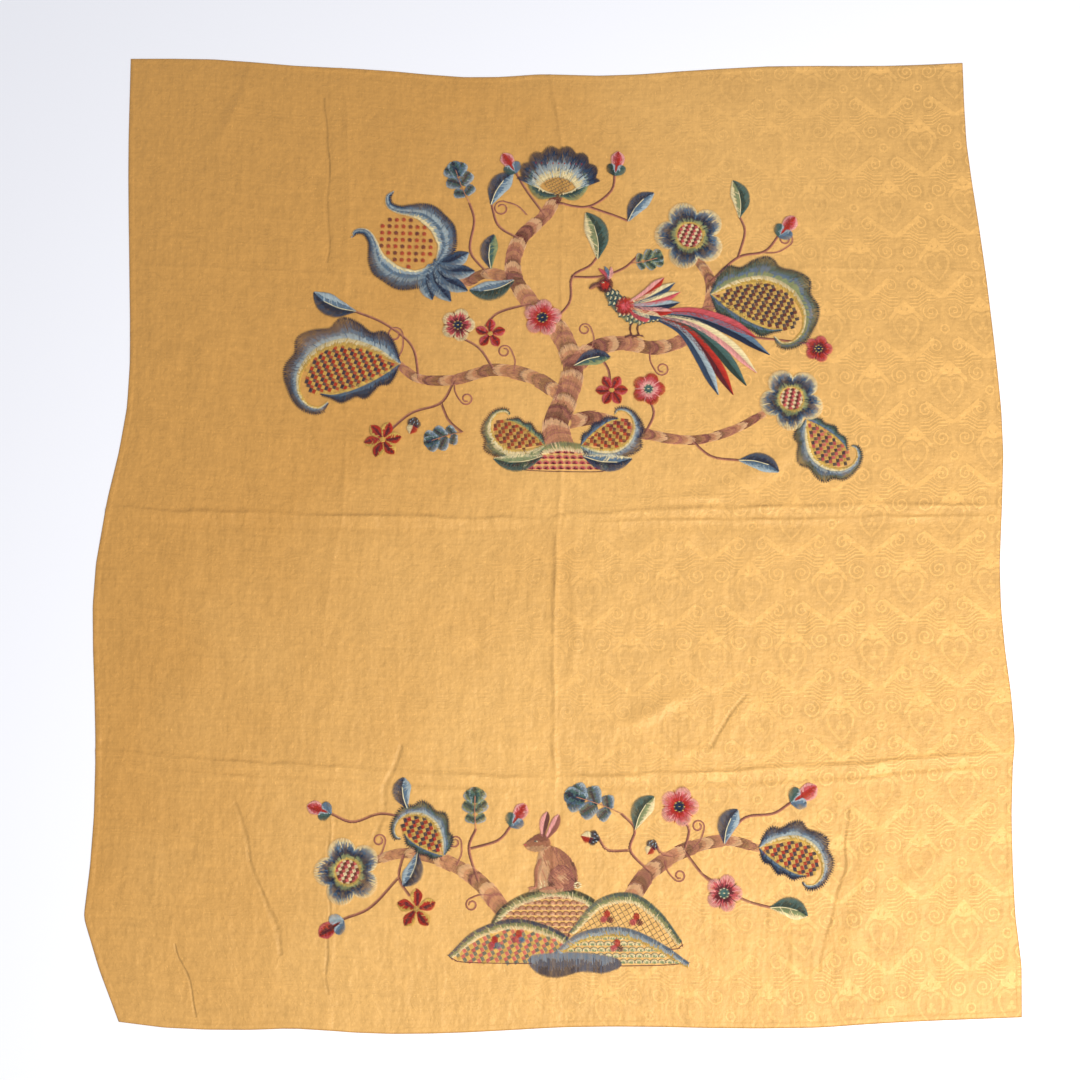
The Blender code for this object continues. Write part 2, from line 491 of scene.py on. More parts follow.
# Noises in the silk. Columns: name, size in metres, detail, stretch, whether it lies along the threads, kind,
# weight in the tone, height in mm.
MOTTLES = (
    # broad patches that only break up the painted shade of the left side and the painted fading of the figure's sheen
    ("falloff_patches", 0.35, 2, (1, 1, 1), False, "FBM", 0, 0),
    ("cloudy", 0.06, 4, (1, 1, 1), False, "FBM", 0.16, 2.4),
    ("blotchy", 0.012, 3, (1, 1, 1), False, "FBM", 0.3, 0.8),
    ("crinkled", 0.0065, 3, (1, 1, 1), False, "FBM", 0, 1.6),
    ("dented", 0.024, 2, (1, 0.32, 1), False, "FBM", 0, 4.2),
    ("creased", 0.13, 1, (1, 0.4, 1), False, "RIDGED_MULTIFRACTAL", 0, 2.2),
    ("crumpled", 0.05, 1, (1, 0.7, 1), False, "RIDGED_MULTIFRACTAL", 0, 0.7),
    ("slubs", 0.004, 2, (0.05, 1, 1), True, "FBM", 0.2, 0.09),
    ("warps", 0.003, 2, (1, 0.02, 1), True, "FBM", 0.14, 0.06),
    ("flecks", 0.0024, 1, (1, 0.4, 1), True, "FBM", 0, 0),
)
# The tone that the noises' middles add up to, taken off again.
MIDDLE_TONE = 0.378
# Sharp creases, too narrow for the mesh: bump dents them and painted shade darkens them. Columns: x and y of the start,
# x and y of the end, half width.
SHARP_CREASES = (
    (-470, -430, -385, -640, 4.5),
    (-322, -440, -318, -690, 4.0),
    (-545, -620, -510, -722, 3.4),
    (-361, 675, -350, 400, 4.0),
    (-224, -351, -276, -499, 6.0),
    (282, -268, 236, -345, 6.0),
    (430, -430, 372, -660, 6.0),
)


def damask_figure(x, y, wide, high):
    """The woven figure, 1 where the ground's satin turns over, and its bright outlines. They are worked out
    for one tier of the half-drop repeat, a mm to either side of its middle and b mm above it."""
    tiers = y * (2 / high)
    tier = tiers.math("ROUND")
    b = (tiers - tier) * (high / 2)
    columns = tier.math("FLOORED_MODULO", 2.0) * 0.5 + x * (1 / wide)
    a = abs(columns - columns.math("ROUND")) * wide
    up = abs(b)

    def petals(height, turns, swing, least):
        """Petals that spread from a place on the tier's middle line."""
        rise = b - height
        lobe = abs((a.math("ARCTAN2", rise) * turns).math("COSINE"))
        return distance(rise, a) < lobe * swing + least

    # the heart's outline, the trefoil inside it and its saw-edged shade
    heart_u = a / 21.0
    heart = distance(heart_u.math("SQRT") * -0.72 + (b * 0.047 + 0.24), heart_u)
    heart_lines = (abs(heart - 0.9) < 0.1).most(petals(1.0, 1.5, 6.5, 1.5))
    saw = b.math("PINGPONG", 3.4)
    heart_shade = heart < saw * 0.1 + 1.3
    sprig = petals(28.0, 2.6, 14.0, 4.0) * (b > 25.0)
    # a C scroll in each corner of the tier, and the ring of shade round it
    beside, over = a - 42.5, up - 28.5
    out = distance(over, beside)
    coil = (out * 0.135 + over.math("ARCTAN2", beside) * 0.1592).math("FRACT")
    scroll = (coil < 0.36) * (out < 14.0)
    # the rosette between two hearts
    round_it = distance(b, 60.75 - a)
    rosette_shade = round_it < 8.4
    rosette = (round_it.math("PINGPONG", 3.2) < 1.6) * rosette_shade
    # plain bands that frame the heart: a V under it, and over it a shorter gable with a saw-edged shade
    vee = (abs(a * -0.8 + b + 51.0) < 5.0) * (a < 42.0)
    off_gable = a * 1.15 + b - 47.0
    gable = (abs(off_gable) < 4.5) * (a < 27.0)
    eave = (abs(off_gable + 9.0) < saw * 0.9 + 2.6) * (a < 31.0)
    band = vee.most(gable)
    no_band = 1.0 - band
    # bundles of four lines that step from one tier over to the next
    line = (a * 0.0667 - 1.525).between(0.0, 1.0) * -10.0 + up - 35.25
    bundle = (line > 0.0) * (abs(a - 30.375) < 21.5) * no_band
    lines = (line.math("PINGPONG", 2.75) > 1.5) * bundle

    bright = (band * 0.75 + heart_lines * 0.6).most(scroll, lines, sprig, rosette)
    dark = heart_shade.most(eave, out < 15.5, bundle, rosette_shade, no_band * 0.45)
    return dark * (1.0 - bright).most(0.0), bright


def pinched_lines(tree, place):
    """How near a place is to the sharp creases: 1 on a line, 0 at its half width. Noise bends the lines."""
    drift = add(tree, "ShaderNodeTexNoise", {"Vector": place, "Scale": 8.0, "Detail": 1.0}).outputs["Color"]
    bend = add(tree, "ShaderNodeVectorMath", [drift, (0.06, 0.06, 0), (-0.03, -0.03, 0)], operation="MULTIPLY_ADD")
    level = add(tree, "ShaderNodeVectorMath", [place, (1, 1, 0), bend], operation="MULTIPLY_ADD")
    pinched = 0.0
    for start_x, start_y, end_x, end_y, half in SHARP_CREASES:
        start = Vector((start_x * MM, start_y * MM, 0))
        run = Vector((end_x * MM, end_y * MM, 0)) - start
        beyond = add(tree, "ShaderNodeVectorMath", [level, start], operation="SUBTRACT")
        share = add(tree, "ShaderNodeVectorMath", [beyond, run / run.length_squared], operation="DOT_PRODUCT")
        within = add(tree, "ShaderNodeClamp", [share.outputs["Value"]])
        nearest = add(tree, "ShaderNodeVectorMath", {0: run, "Scale": within}, operation="SCALE")
        gap = add(tree, "ShaderNodeVectorMath", [beyond, nearest], operation="DISTANCE")
        fade = [gap.outputs["Value"], 0.0, half * MM, 1.0, 0.0]
        near = add(tree, "ShaderNodeMapRange", fade, interpolation_type="SMOOTHSTEP")
        pinched = Term(tree, near.outputs[0]) + pinched
    return pinched


def silk_damask(look):
    """Gold silk damask, woven in satin: soft gloss along the threads, and a figure whose sheen is painted into its
    colour.
    """
    material, tree, shader = new_material("gold_silk_damask")
    place = add(tree, "ShaderNodeTexCoord").outputs["Object"]
    weave = add(tree, "ShaderNodeUVMap", uv_map="cloth").outputs[0]
    across, along, _ = terms(add(tree, "ShaderNodeSeparateXYZ", [place]))
    u, v, _ = (term * (1 / MM) for term in terms(add(tree, "ShaderNodeSeparateXYZ", [weave])))
    x, y = u.math("SNAP", DAMASK_STAIR), (v + 13.0).math("SNAP", DAMASK_STAIR)
    figure, bright = damask_figure(x, y, look.repeat_width / MM, look.repeat_height / MM)
    noises = {}
    for name, size, detail, stretch, on_weave, kind, _, _ in MOTTLES:
        spread = add(tree, "ShaderNodeMapping", {"Vector": weave if on_weave else place, "Scale": stretch})
        settings = {"Vector": spread, "Scale": 1 / size, "Detail": detail, "Roughness": 0.6}
        noises[name] = terms(add(tree, "ShaderNodeTexNoise", settings, noise_type=kind))[0]
    falloff_patches, cloudy = noises["falloff_patches"], noises["cloudy"]

    # handling has browned the very edge of the hem; painted shade darkens the left side and the top, away from the key
    # light
    edge_gap = (lying.size[0] / 2 - abs(u)).math("MINIMUM", lying.size[1] / 2 - abs(v))
    edging = (edge_gap * -0.4 + 1.0).most(0.0)
    edge_brown_and_painted_shade = (across * -1.1 + along * 0.5 + falloff_patches * 0.8 - 0.35).between(0.0, 0.55).most(edging)
    # the figure's painted sheen fades towards the left, away from the key light, and keeps patches
    kept = (across * 1.45 + along * -0.25 + falloff_patches * 1.4 - 0.42).between(0.16, 1.0)
    woven, lit = figure * kept, bright * kept
    crease_dent_and_shade = pinched_lines(tree, place) * (cloudy * 2.6 - 0.4)
    fleck = (noises["flecks"] - 0.62).most(0.0)
    # painted sheen: the figure is painted darker, and its outlines get a painted highlight
    tone = woven * -look.contrast + (1.0 - MIDDLE_TONE) + lit * (look.contrast * 0.6)
    # painted shade darkens the sharp creases; the browned hem edge is darker too
    tone = tone + crease_dent_and_shade * -0.1 + fleck * 1.4 + edging * -0.2
    height = bright * 0.12 + figure * -0.1 + crease_dent_and_shade * -1.6
    for name, *_, in_tone, in_height in MOTTLES:
        tone = tone + noises[name] * in_tone if in_tone else tone
        height = height + noises[name] * in_height if in_height else height

    # painted shade and the browned hem edge mix the gold towards a darker, browner gold
    gold_browned_and_shaded = add(tree, "ShaderNodeMix", {0: edge_brown_and_painted_shade, 6: tuple(look.gold), 7: tuple(look.soiled)}, data_type="RGBA")
    colour = add(tree, "ShaderNodeVectorMath", {0: gold_browned_and_shaded.outputs[2], "Scale": tone}, operation="SCALE")
    bump = add(tree, "ShaderNodeBump", {"Height": height, "Distance": MM, "Strength": 0.8})
    feed(tree, shader, {
        "Base Color": colour, "Roughness": woven * 0.1 + look.roughness + cloudy * 0.12 + edge_brown_and_painted_shade * 0.12,
        "Normal": bump, "IOR": 1.5, "Specular IOR Level": 0.62, "Specular Tint": linear("#ffecca"),
        "Sheen Weight": 0.08, "Sheen Roughness": 0.4,
    })
    return material


# ---------------------------------------------------------------- stitches

# In mm: a stitch's width, the gap between rows of satin, the squares in a great leaf, and the length that a
# stitch has to be longer than.
YARN = 1.9
ROW = 1.63
CHECK = 5.4
SHORTEST = 0.7
# The wools of a trunk's plates, from the dark end of each plate.
BARK = (
    ("umber", "rosewood", "tan"), ("rosewood", "tan", "fawn"),
    ("maroon", "umber", "rosewood"), ("umber", "tan", "fawn"),
)
BLUES = ("navy", "indigo", "blue", "pale_blue")

chance = np.random.default_rng(17)


class Place:
    """Where a motif goes: its own points, in mm, are turned by degrees, perhaps mirrored, and moved."""

    def __init__(self, x, y, turn=0.0, flip=False):
        self.x, self.y, self.flip = x, y, flip
        self.cos, self.sin = math.cos(math.radians(turn)), math.sin(math.radians(turn))

    def __call__(self, points):
        x, y = points[..., 0], points[..., 1] * (-1 if self.flip else 1)
        return np.stack([self.x + x * self.cos - y * self.sin, self.y + x * self.sin + y * self.cos], -1)

    def at(self, x, y, turn=0.0, flip=False):
        """A place given in this one's own axes."""
        spot = self(np.array([x, y], float))
        own = math.degrees(math.atan2(self.sin, self.cos))
        return Place(spot[0], spot[1], own - turn if self.flip else own + turn, flip != self.flip)


class Stitches:
    """The stitches of one piece: their two ends in mm, their wool, their width and their lift off the cloth."""

    def __init__(self, base=0.0):
        self.laid, self.base = [], base

    def clear(self, outline):
        """Leaves out the stitches laid so far whose middles are within an outline."""
        following = np.roll(outline, -1, axis=0)
        kept = []
        for rows in self.laid:
            middle = (rows[:, :2] + rows[:, 2:4]) / 2
            over = (outline[:, 1] <= middle[:, 1:]) != (following[:, 1] <= middle[:, 1:])
            rise = np.where(over, following[:, 1] - outline[:, 1], 1.0)
            cut = outline[:, 0] + (middle[:, 1:] - outline[:, 1]) / rise * (following[:, 0] - outline[:, 0])
            inside = (over & (cut > middle[:, :1])).sum(axis=1) % 2 == 1
            kept.append(rows[~inside])
        self.laid = kept

    def lay(self, start, end, wool, width=YARN, lift=0.0):
        """Adds stitches from start to end points. Wool is one name, or a name for each stitch."""
        start, end = np.atleast_2d(start), np.atleast_2d(end)
        shade = SHADE[wool] if isinstance(wool, str) else np.array([SHADE[name] for name in wool])
        long = np.hypot(*(end - start).T)
        spread = [np.broadcast_to(value, long.shape) for value in (shade, width, lift + self.base)]
        self.laid.append(np.column_stack([start, end, *spread])[long > SHORTEST])

    def points(self, thickness):
        """For each stitch: its middle in metres, its turn, its length, width and height, and its wool."""
        rows = np.vstack(self.laid)
        start, end, shade, width, lift = rows[:, :2], rows[:, 2:4], rows[:, 4], rows[:, 5], rows[:, 6]
        width = width * chance.uniform(0.88, 1.12, len(rows))
        low, high = lying.rise(*start.T), lying.rise(*end.T)
        middle = (start + end) / 2
        height = np.maximum(lying.rise(*middle.T), (low + high) / 2)
        run = end - start
        long = np.hypot(*run.T) + 0.3
        z = height + thickness + 0.2 + lift + chance.uniform(-0.08, 0.12, len(rows))
        place = np.column_stack([middle, z]) * MM
        level = np.zeros(len(rows))
        turn = np.column_stack([level, -np.arctan2(high - low, long), np.arctan2(run[:, 1], run[:, 0])])
        return place, turn, np.column_stack([long, width, width * 0.75]) * MM, shade.astype(int)


def smooth_line(points, gap, closed=False):
    """Evenly spaced places, about gap apart, on the smooth curve through some points."""
    p = np.array(points, float)
    p = np.vstack([p[-1], p, p[0], p[1]]) if closed else np.vstack([2 * p[0] - p[1], p, 2 * p[-1] - p[-2]])
    t = np.linspace(0, 1, 12, endpoint=False)[:, None]
    runs = [
        0.5 * (2 * b + (c - a) * t + (2 * a - 5 * b + 4 * c - d) * t**2 + (3 * b - a - 3 * c + d) * t**3)
        for a, b, c, d in zip(p, p[1:], p[2:], p[3:])
    ]
    line = np.vstack(runs + [p[-2:-1]])
    along = np.concatenate([[0], np.cumsum(np.hypot(*np.diff(line, axis=0).T))])
    return at_along(line, along, np.linspace(0, along[-1], max(2, round(along[-1] / gap) + 1)))


def at_along(line, along, places):
    """The points of a line at some places, where along holds the places of the points it is given by."""
    return np.stack([np.interp(places, along, line[:, k]) for k in (0, 1)], 1)


def ways(line):
    """Unit directions along a line, and to its left."""
    step = np.gradient(line, axis=0)
    step = step / np.maximum(np.hypot(*step.T), 1e-9)[:, None]
    return step, np.stack([-step[:, 1], step[:, 0]], 1)


def turned(degrees):
    """Unit directions along and across a turn."""
    c, s = math.cos(math.radians(degrees)), math.sin(math.radians(degrees))
    return np.array([[c, s], [-s, c]])


def arc(step, radius, start=0, end=360):
    """Points on a circle, every step degrees from start to end."""
    angle = np.radians(np.arange(start, end, step))
    return np.stack([np.cos(angle), np.sin(angle)], 1) * radius


def band(work, place, inner, outer, wools, k, lift):
    """The k-th wool's share of long and short stitch from inner to outer points. Its ends are staggered, and
    a few stitches take the shade beside it."""
    count, n = len(wools), len(inner)
    low = np.clip((k - 0.18 + chance.uniform(-0.3, 0.3, (n, 1))) / count, 0, 1) if k else 0.0
    high = np.clip((k + 1.1 + chance.uniform(-0.3, 0.3, (n, 1))) / count, 0, 1) if k < count - 1 else 1.0
    start, end = (place(inner + (outer - inner) * share) for share in (low, high))
    mixed = np.where(chance.random(n) < 0.1, wools[min(k + 1, count - 1)], wools[k]).tolist()
    work.lay(start, end, mixed, lift=lift + 0.12 * (count - k))


def blade(work, place, spine, left, right, wools, lean=0.7, lift=0.0):
    """A leaf or feather: bands of stitches from its spine out to both edges. Half widths are given evenly
    along it, and wools for the left and the right side, from the spine outwards. Gives back its edges."""
    line = smooth_line(spine, ROW)
    way, out = ways(line)
    share = np.linspace(0, 1, len(line))
    edges = []
    for side, widths, shades in ((1, left, wools[0]), (-1, right, wools[-1])):
        curve = smooth_line(np.column_stack([np.arange(len(widths)) * 10.0, np.array(widths) * 1.0]), 1.0)
        width = np.maximum(np.interp(share * curve[-1, 0], curve[:, 0], curve[:, 1]), 0.0)
        edge = line + side * out * width[:, None] + way * (lean * width)[:, None]
        for k in range(len(shades)):
            band(work, place, line, edge, shades, k, lift)
        edges.append(edge)
    return edges


def fan(work, place, inner, outer, wools, start=0, end=360, lift=0.0):
    """Stitches that spread from a centre. Inner is a radius, outer a radius or a function of the angle."""
    far_of = outer if callable(outer) else lambda angle: np.full(len(angle), outer)
    mean = (inner + far_of(np.array([0.1]))[0]) / 2
    for k in range(len(wools)):
        reach = mean * (0.6 + 0.5 * (k + 1) / len(wools)) + 2
        n = max(4, round(math.radians(end - start) * reach / ROW))
        angle = np.radians(np.linspace(start, end, n, endpoint=end - start < 360)) + chance.uniform(-0.2, 0.2, n) / n
        way = np.stack([np.cos(angle), np.sin(angle)], 1)
        band(work, place, way * inner, way * far_of(angle)[:, None], wools, k, lift)


def lobed(radius, lobes, depth, turn=0.0):
    """A radius that swells into a number of round petals."""
    return lambda angle: radius * (1 - depth + depth * np.abs(np.cos(lobes / 2 * (angle - math.radians(turn)))) ** 0.6)


def rows_across(outline, turn, gap):
    """Segments, gap apart and turned by degrees, that fill a closed outline."""
    axes = turned(turn)
    own = np.array(outline, float) @ axes.T
    following = np.roll(own, -1, axis=0)
    found = []
    for y in np.arange(own[:, 1].min() + gap / 2, own[:, 1].max(), gap):
        over = (own[:, 1] <= y) != (following[:, 1] <= y)
        a, b = own[over], following[over]
        cuts = np.sort(a[:, 0] + (y - a[:, 1]) / (b[:, 1] - a[:, 1]) * (b[:, 0] - a[:, 0]))
        found += [((x0, y), (x1, y)) for x0, x1 in zip(cuts[::2], cuts[1::2]) if x1 - x0 > 0.8]
    return np.array(found).reshape(-1, 2, 2) @ axes


def area(work, place, outline, turn, wool_of, stitch=9.0, lift=0.0):
    """Fills an outline with rows of long and short stitch; wool_of(x, y) names each stitch's wool."""
    for start, end in rows_across(outline, turn, ROW):
        long = math.hypot(*(end - start))
        count = max(1, round(long / stitch))
        moved = chance.uniform(-0.35, 0.35, count - 1)
        cuts = (np.arange(count + 1) + np.concatenate([[0], moved, [0]])) / count
        starts = start + (end - start) * cuts[:-1, None]
        ends = start + (end - start) * np.minimum(cuts[1:, None] + 0.8 / long, 1)
        work.lay(place(starts), place(ends), [wool_of(x, y) for x, y in (starts + ends) / 2], lift=lift)


def stem(work, place, points, wools, lift=0.2, stitch=7.5, gap=1.35):
    """Rows of stem stitch side by side along a smooth line, one row for each wool."""
    line = smooth_line(points, 1.0)
    _, out = ways(line)
    where = np.arange(len(line))
    count = max(1, round(len(line) / stitch))
    for k, wool in enumerate(wools):
        own = line + out * (k - (len(wools) - 1) / 2) * gap
        at = (np.arange(count) + (k % 2) * 0.5) / count * (len(own) - 1)
        start, end = (np.clip(at + reach, 0, len(own) - 1) for reach in (-0.8, stitch * 1.25))
        work.lay(place(at_along(own, where, start)), place(at_along(own, where, end)), wool, lift=lift)


def trunk(work, place, points, widths, plate=21.0, tint=0):
    """A trunk or branch of overlapping rounded plates, each shaded from dark, where it starts, to light."""
    line = smooth_line(points, 1.0)
    _, out = ways(line)
    where = np.arange(len(line))
    last = len(line) - 1
    width = np.interp(where / last, np.linspace(0, 1, len(widths)), widths)
    plates = max(2, round(len(line) / plate))
    for k in range(plates):
        start, end = k / plates * last, (k + 1) / plates * last
        wide = np.interp(start, where, width) * (1 + 0.1 * (k % 2))
        across = np.arange(-wide / 2, wide / 2 + 0.1, ROW)
        bulge = (end - start) * 0.45 * (1 - (2 * across / (wide + 1)) ** 2)
        for j, wool in enumerate(BARK[(k + tint) % len(BARK)]):
            low = start + (end - start) * (j / 3 - 0.05) + bulge
            high = start + (end - start) * ((j + 1) / 3 + 0.12) + bulge + chance.uniform(-1, 1, len(across))
            ends = []
            for t in (np.clip(low, 0, last), np.clip(high, 0, last)):
                ends.append(place(at_along(line, where, t) + at_along(out, where, t) * across[:, None]))
            work.lay(*ends, wool, lift=0.1 * j)


def knots(work, place, points, wool, size=2.1, lift=0.6):
    """French knots: round, raised, and as wide as they are long."""
    points = np.atleast_2d(np.array(points, float))
    half = np.array([size / 2, 0])
    work.lay(place(points - half), place(points + half), wool, width=size, lift=lift)


def spots(work, place, points, wool, size=6.0, lift=0.3):
    """Round satin spots of a few rows each."""
    for row in np.arange(-size / 2 + ROW / 2, size / 2, ROW):
        half = np.array([math.sqrt(max(size * size / 4 - row * row, 0.3)), 0])
        middle = np.atleast_2d(np.array(points, float)) + (0, row)
        work.lay(place(middle - half), place(middle + half), wool, lift=lift)


def teeth(work, place, edge, wool, gap=3.2, long=3.4, side=1):
    """Short stitches that stand out from an edge, like the teeth of a leaf."""
    line = smooth_line(edge[:: max(1, len(edge) // 40)], gap)
    way, out = ways(line)
    tips = line + side * out * (long - 1.2) + way * 0.8
    work.lay(place(line - side * out * 1.2), place(tips), wool, width=1.8, lift=0.4)


def dots_in(outline, gap, turn=45):
    """Evenly spaced places inside an outline, on turned square centres."""
    way, out = turned(turn)
    found = [np.zeros((0, 2))]
    for start, end in rows_across(outline, turn, gap):
        along = np.arange(math.ceil(start @ way / gap) * gap, end @ way, gap)
        found.append(np.outer(along, way) + (start @ out) * out)
    return np.vstack(found)


def checks(work, place, outline, size, wools, turn=20):
    """A filling of little satin squares, in turn along and across, over the ground's own colour."""
    axes = turned(turn)
    middles = dots_in(outline, size, turn)
    for middle, (column, row) in zip(middles, np.round(middles @ axes.T / size).astype(int)):
        along, across = axes if row % 2 else axes[::-1]
        rows = np.arange(-size / 2 + ROW / 2, size / 2, ROW)[:, None] * across
        half = along * size * 0.52
        wool = wools[(column + 2 * row) % len(wools)]
        work.lay(place(middle + rows - half), place(middle + rows + half), wool, lift=0.1)


def trellis(work, place, outline, gap, wool, knot, turns=(30, 120)):
    """Crossed long threads, tied down with a knot in each mesh."""
    for turn in turns:
        for start, end in rows_across(outline, turn, gap):
            count = max(1, round(math.hypot(*(end - start)) / 12))
            line = start + (end - start) * np.linspace(0, 1, count + 1)[:, None]
            work.lay(place(line[:-1]), place(line[1:]), wool, width=0.8, lift=0.3)
    knots(work, place, dots_in(outline, gap, turns[0]) + 0.01, knot, size=1.7, lift=0.5)


def scales(work, place, outline, size, wools, turn=0.0):
    """Overlapping scales: a pale fan and a dark rim, in staggered rows that face one way."""
    for k, (start, end) in enumerate(rows_across(outline, turn + 90, size * 0.75)):
        long = math.hypot(*(end - start))
        way = (end - start) / long
        for along in np.arange(size * (0.25 + 0.5 * (k % 2)), long, size):
            spot = place.at(*(start + way * along), turn)
            fan(work, spot, 0.5, size * 0.5, wools[:-1], -80, 80)
            edge = arc(34, size * 0.56, -85, 86)
            work.lay(spot(edge[:-1]), spot(edge[1:]), wools[-1], width=1.1, lift=0.35)


# ---------------------------------------------------------------- motifs


def sized(rows, size):
    """A motif's points, drawn 100 mm long, at another size."""
    return np.array(rows, float) * size / 100


def round_of(rows, size):
    """A smooth closed outline through a motif's points."""
    return smooth_line(sized(rows, size), 3, True)


def frond(work, place, size, spine, left, wools, right=None, **how):
    """A blade given by a motif's points. Its right half widths are the left ones, unless they are given."""
    return blade(work, place, sized(spine, size), sized(left, size), sized(right or left, size), wools, **how)


def leaf(work, place, long, wide, dark=BLUES[:2], light=BLUES[2:], rib="cream"):
    """A pointed leaf with a dark and a light side, and a midrib."""
    spine = sized(((0, 0), (35, 7), (70, 5), (100, -6)), long)
    widths = np.array([0.15, 0.8, 1.0, 0.85, 0.5, 0.05]) * wide / 2
    blade(work, place, spine, widths, widths, (dark, light))
    stem(work, place, spine[:3], (rib,), lift=0.6)


def oak_leaf(work, place, long, wide, wools=("navy", "teal"), pale=("blue", "pale_blue")):
    """A leaf with round lobes, each worked from its own vein."""
    reach = wide * 0.6
    widths = np.array([0.75, 0.85, 1.0, 1.0, 0.8, 0.05]) * long * 0.14
    lobe = ((*wools, *pale)[1:], (*wools, pale[0]))
    for along, turn, share in ((22, 62, 0.75), (45, 52, 1.0), (68, 40, 0.95)):
        for side in (False, True):
            own = place.at(long * along / 100, 0, -turn if side else turn, side)
            vein = ((0, 0), (reach * share / 2, 0), (reach * share, 0))
            blade(work, own, vein, widths * share, widths * share, lobe, lean=0.3)
    tip = sized(((66, 0), (85, 0), (104, 0)), long)
    blade(work, place, tip, widths, widths, ((*wools, *pale[1:]), (*wools, pale[0])), lean=0.3, lift=0.2)
    stem(work, place, sized(((0, 0), (40, 2), (82, 0)), long), ("tan",), lift=0.9)


def curled_leaf(work, place, size, wools=BLUES + ("cream",), field=("red", "navy", "straw"), tooth="navy"):
    """A large leaf that curls over at its tip, with teeth, lobes and a checked field on its inner side."""
    within = ((4, -3), (26, 11), (52, 17), (72, 9), (84, -8), (80, -26), (60, -26), (38, -21), (16, -11))
    checks(work, place, round_of(within, size), CHECK, field)
    low = ((0, 0), (18, -13), (40, -24), (58, -29), (70, -28))
    shades = (("straw",), wools[2::-1])
    _, low_edge = frond(work, place, size, low, (1, 3, 4, 3, 2, 1), shades, (1, 9, 6, 11, 6, 8, 3, 1))
    spine = ((0, 0), (22, 16), (50, 24), (76, 15), (91, -5), (92, -25), (84, -38), (72, -42), (64, -36))
    outer = (2, 11, 15, 10, 15, 18, 11, 15, 17, 10, 12, 10, 7, 6, 5, 4, 1)
    inner = (1, 4, 6, 7, 8, 8, 7, 7, 7, 6, 5, 4, 3, 3, 2, 2, 1)
    edge, _ = frond(work, place, size, spine, outer, (wools[3::-1], ("cream", "straw")), inner, lean=0.5)
    teeth(work, place, edge[3:-6], tooth)
    teeth(work, place, low_edge[3:-3], tooth, side=-1)


def pomegranate(work, place, size):
    """A ripe pomegranate that has split: red seeds on the bare silk, between two curling halves of shaded rind."""
    for turn, long in ((128, 50), (152, 58), (176, 60), (202, 56), (228, 48)):
        own = place.at(size * 0.1, 0, turn)
        spine = ((4, 0), (long * 0.5, -5), (long, 4))
        frond(work, own, size, spine, (3, 9, 8, 1), (BLUES[:2], BLUES[2:]))
    field = ((12, 0), (26, 24), (52, 30), (78, 20), (92, 0), (78, -20), (52, -30), (26, -24))
    seeds = dots_in(round_of(field, size), size * 0.088, 38)
    spots(work, place, seeds, "red", size * 0.048)
    spots(work, place, seeds[::3], "maroon", size * 0.048, lift=0.5)
    spine = ((2, 2), (8, 26), (30, 42), (58, 42), (82, 26), (98, 22), (108, 30), (106, 40))
    outer = (3, 10, 13, 15, 13, 14, 11, 8, 6, 5, 4, 1)
    inner = (2, 9, 12, 13, 13, 12, 9, 6, 4, 3, 2, 1)
    for side in (False, True):
        own = place.at(0, 0, 0, side)
        edge, _ = frond(work, own, size, spine, outer, (BLUES[:0:-1], ("blue", "pale_blue", "cream")), inner, lean=0.5)
        teeth(work, own, edge[3:-6], "navy")


def rose(work, place, size, petals=5, wools=("red", "rose", "pink"), heart=("navy", "straw")):
    """A round open flower with lobed petals, and knots at its heart."""
    half = size / 2
    fan(work, place, half * 0.3, lobed(half, petals, 0.34), wools)
    for k in range(petals):
        way, _ = turned((k + 0.5) * 360 / petals)
        work.lay(place(way * half * 0.3), place(way * half * 0.8), wools[0], lift=0.5)
    fan(work, place, 0.5, half * 0.3, heart[:1], lift=0.3)
    knots(work, place, arc(45, half * 0.26), heart[1], size=2.2)
    knots(work, place, (0, 0), heart[1], size=2.6)


def star(work, place, size, points=6, wools=(("maroon", "red"), ("red", "rose")), heart="straw"):
    """A flower of pointed petals, each dark on one side."""
    for k in range(points):
        frond(work, place.at(0, 0, k * 360 / points), size, ((3, 0), (26, 0), (50, 0)), (4, 14, 10, 0.5), wools)
    spots(work, place, (0, 0), heart, size * 0.14, lift=0.6)


def peony(work, place, size):
    """A large flower: a ring of blue petals with pale rims round a checked heart."""
    half = size / 2
    fan(work, place, half * 0.4, lobed(half, 5, 0.34, 36), ("sage", "navy", "indigo", "blue", "cream"))
    fan(work, place, half * 0.36, half * 0.44, ("straw",), lift=0.4)
    checks(work, place, arc(12, half * 0.38), 4.6, ("maroon", "rose", "cream"))


def carnation(work, place, size):
    """A fan of saw-toothed petals over a cup with two curling leaves. It opens along its own x."""
    def ragged(angle):
        return size * (0.78 + 0.07 * np.abs(np.sin(angle * 9)) - 0.1 * angle**2)

    fan(work, place, size * 0.34, ragged, ("cream", "pale_blue", "indigo", "navy"), -66, 66)
    cup = round_of(((0, 0), (14, 16), (36, 26), (48, 0), (36, -26), (14, -16)), size)
    trellis(work, place, cup, 5.0, "navy", "straw")
    for side in (False, True):
        spine, shades = ((2, 2), (6, 26), (26, 42), (44, 38)), (("teal", "sage"), ("forest", "cream"))
        frond(work, place.at(0, 0, 0, side), size, spine, (2, 9, 8, 5, 1), shades, (2, 7, 6, 4, 1))
    knots(work, place, sized([(56, y) for y in range(-36, 37, 9)], size), "red")


def bud(work, place, size, wools=("red", "rose", "pink"), cup=("teal", "blue")):
    """A closed flower in its cup, at the end of its own x."""
    frond(work, place, size, ((16, 0), (58, 0), (102, 3)), (12, 24, 26, 16, 1), (wools,))
    for side, wool in ((False, cup[0]), (True, cup[1])):
        own, sepal = place.at(0, 0, 0, side), ((0, 0), (18, 15), (46, 24))
        frond(work, own, size, sepal, (6, 16, 14, 1), ((wool,), (wool, "pale_blue")), lift=0.4)


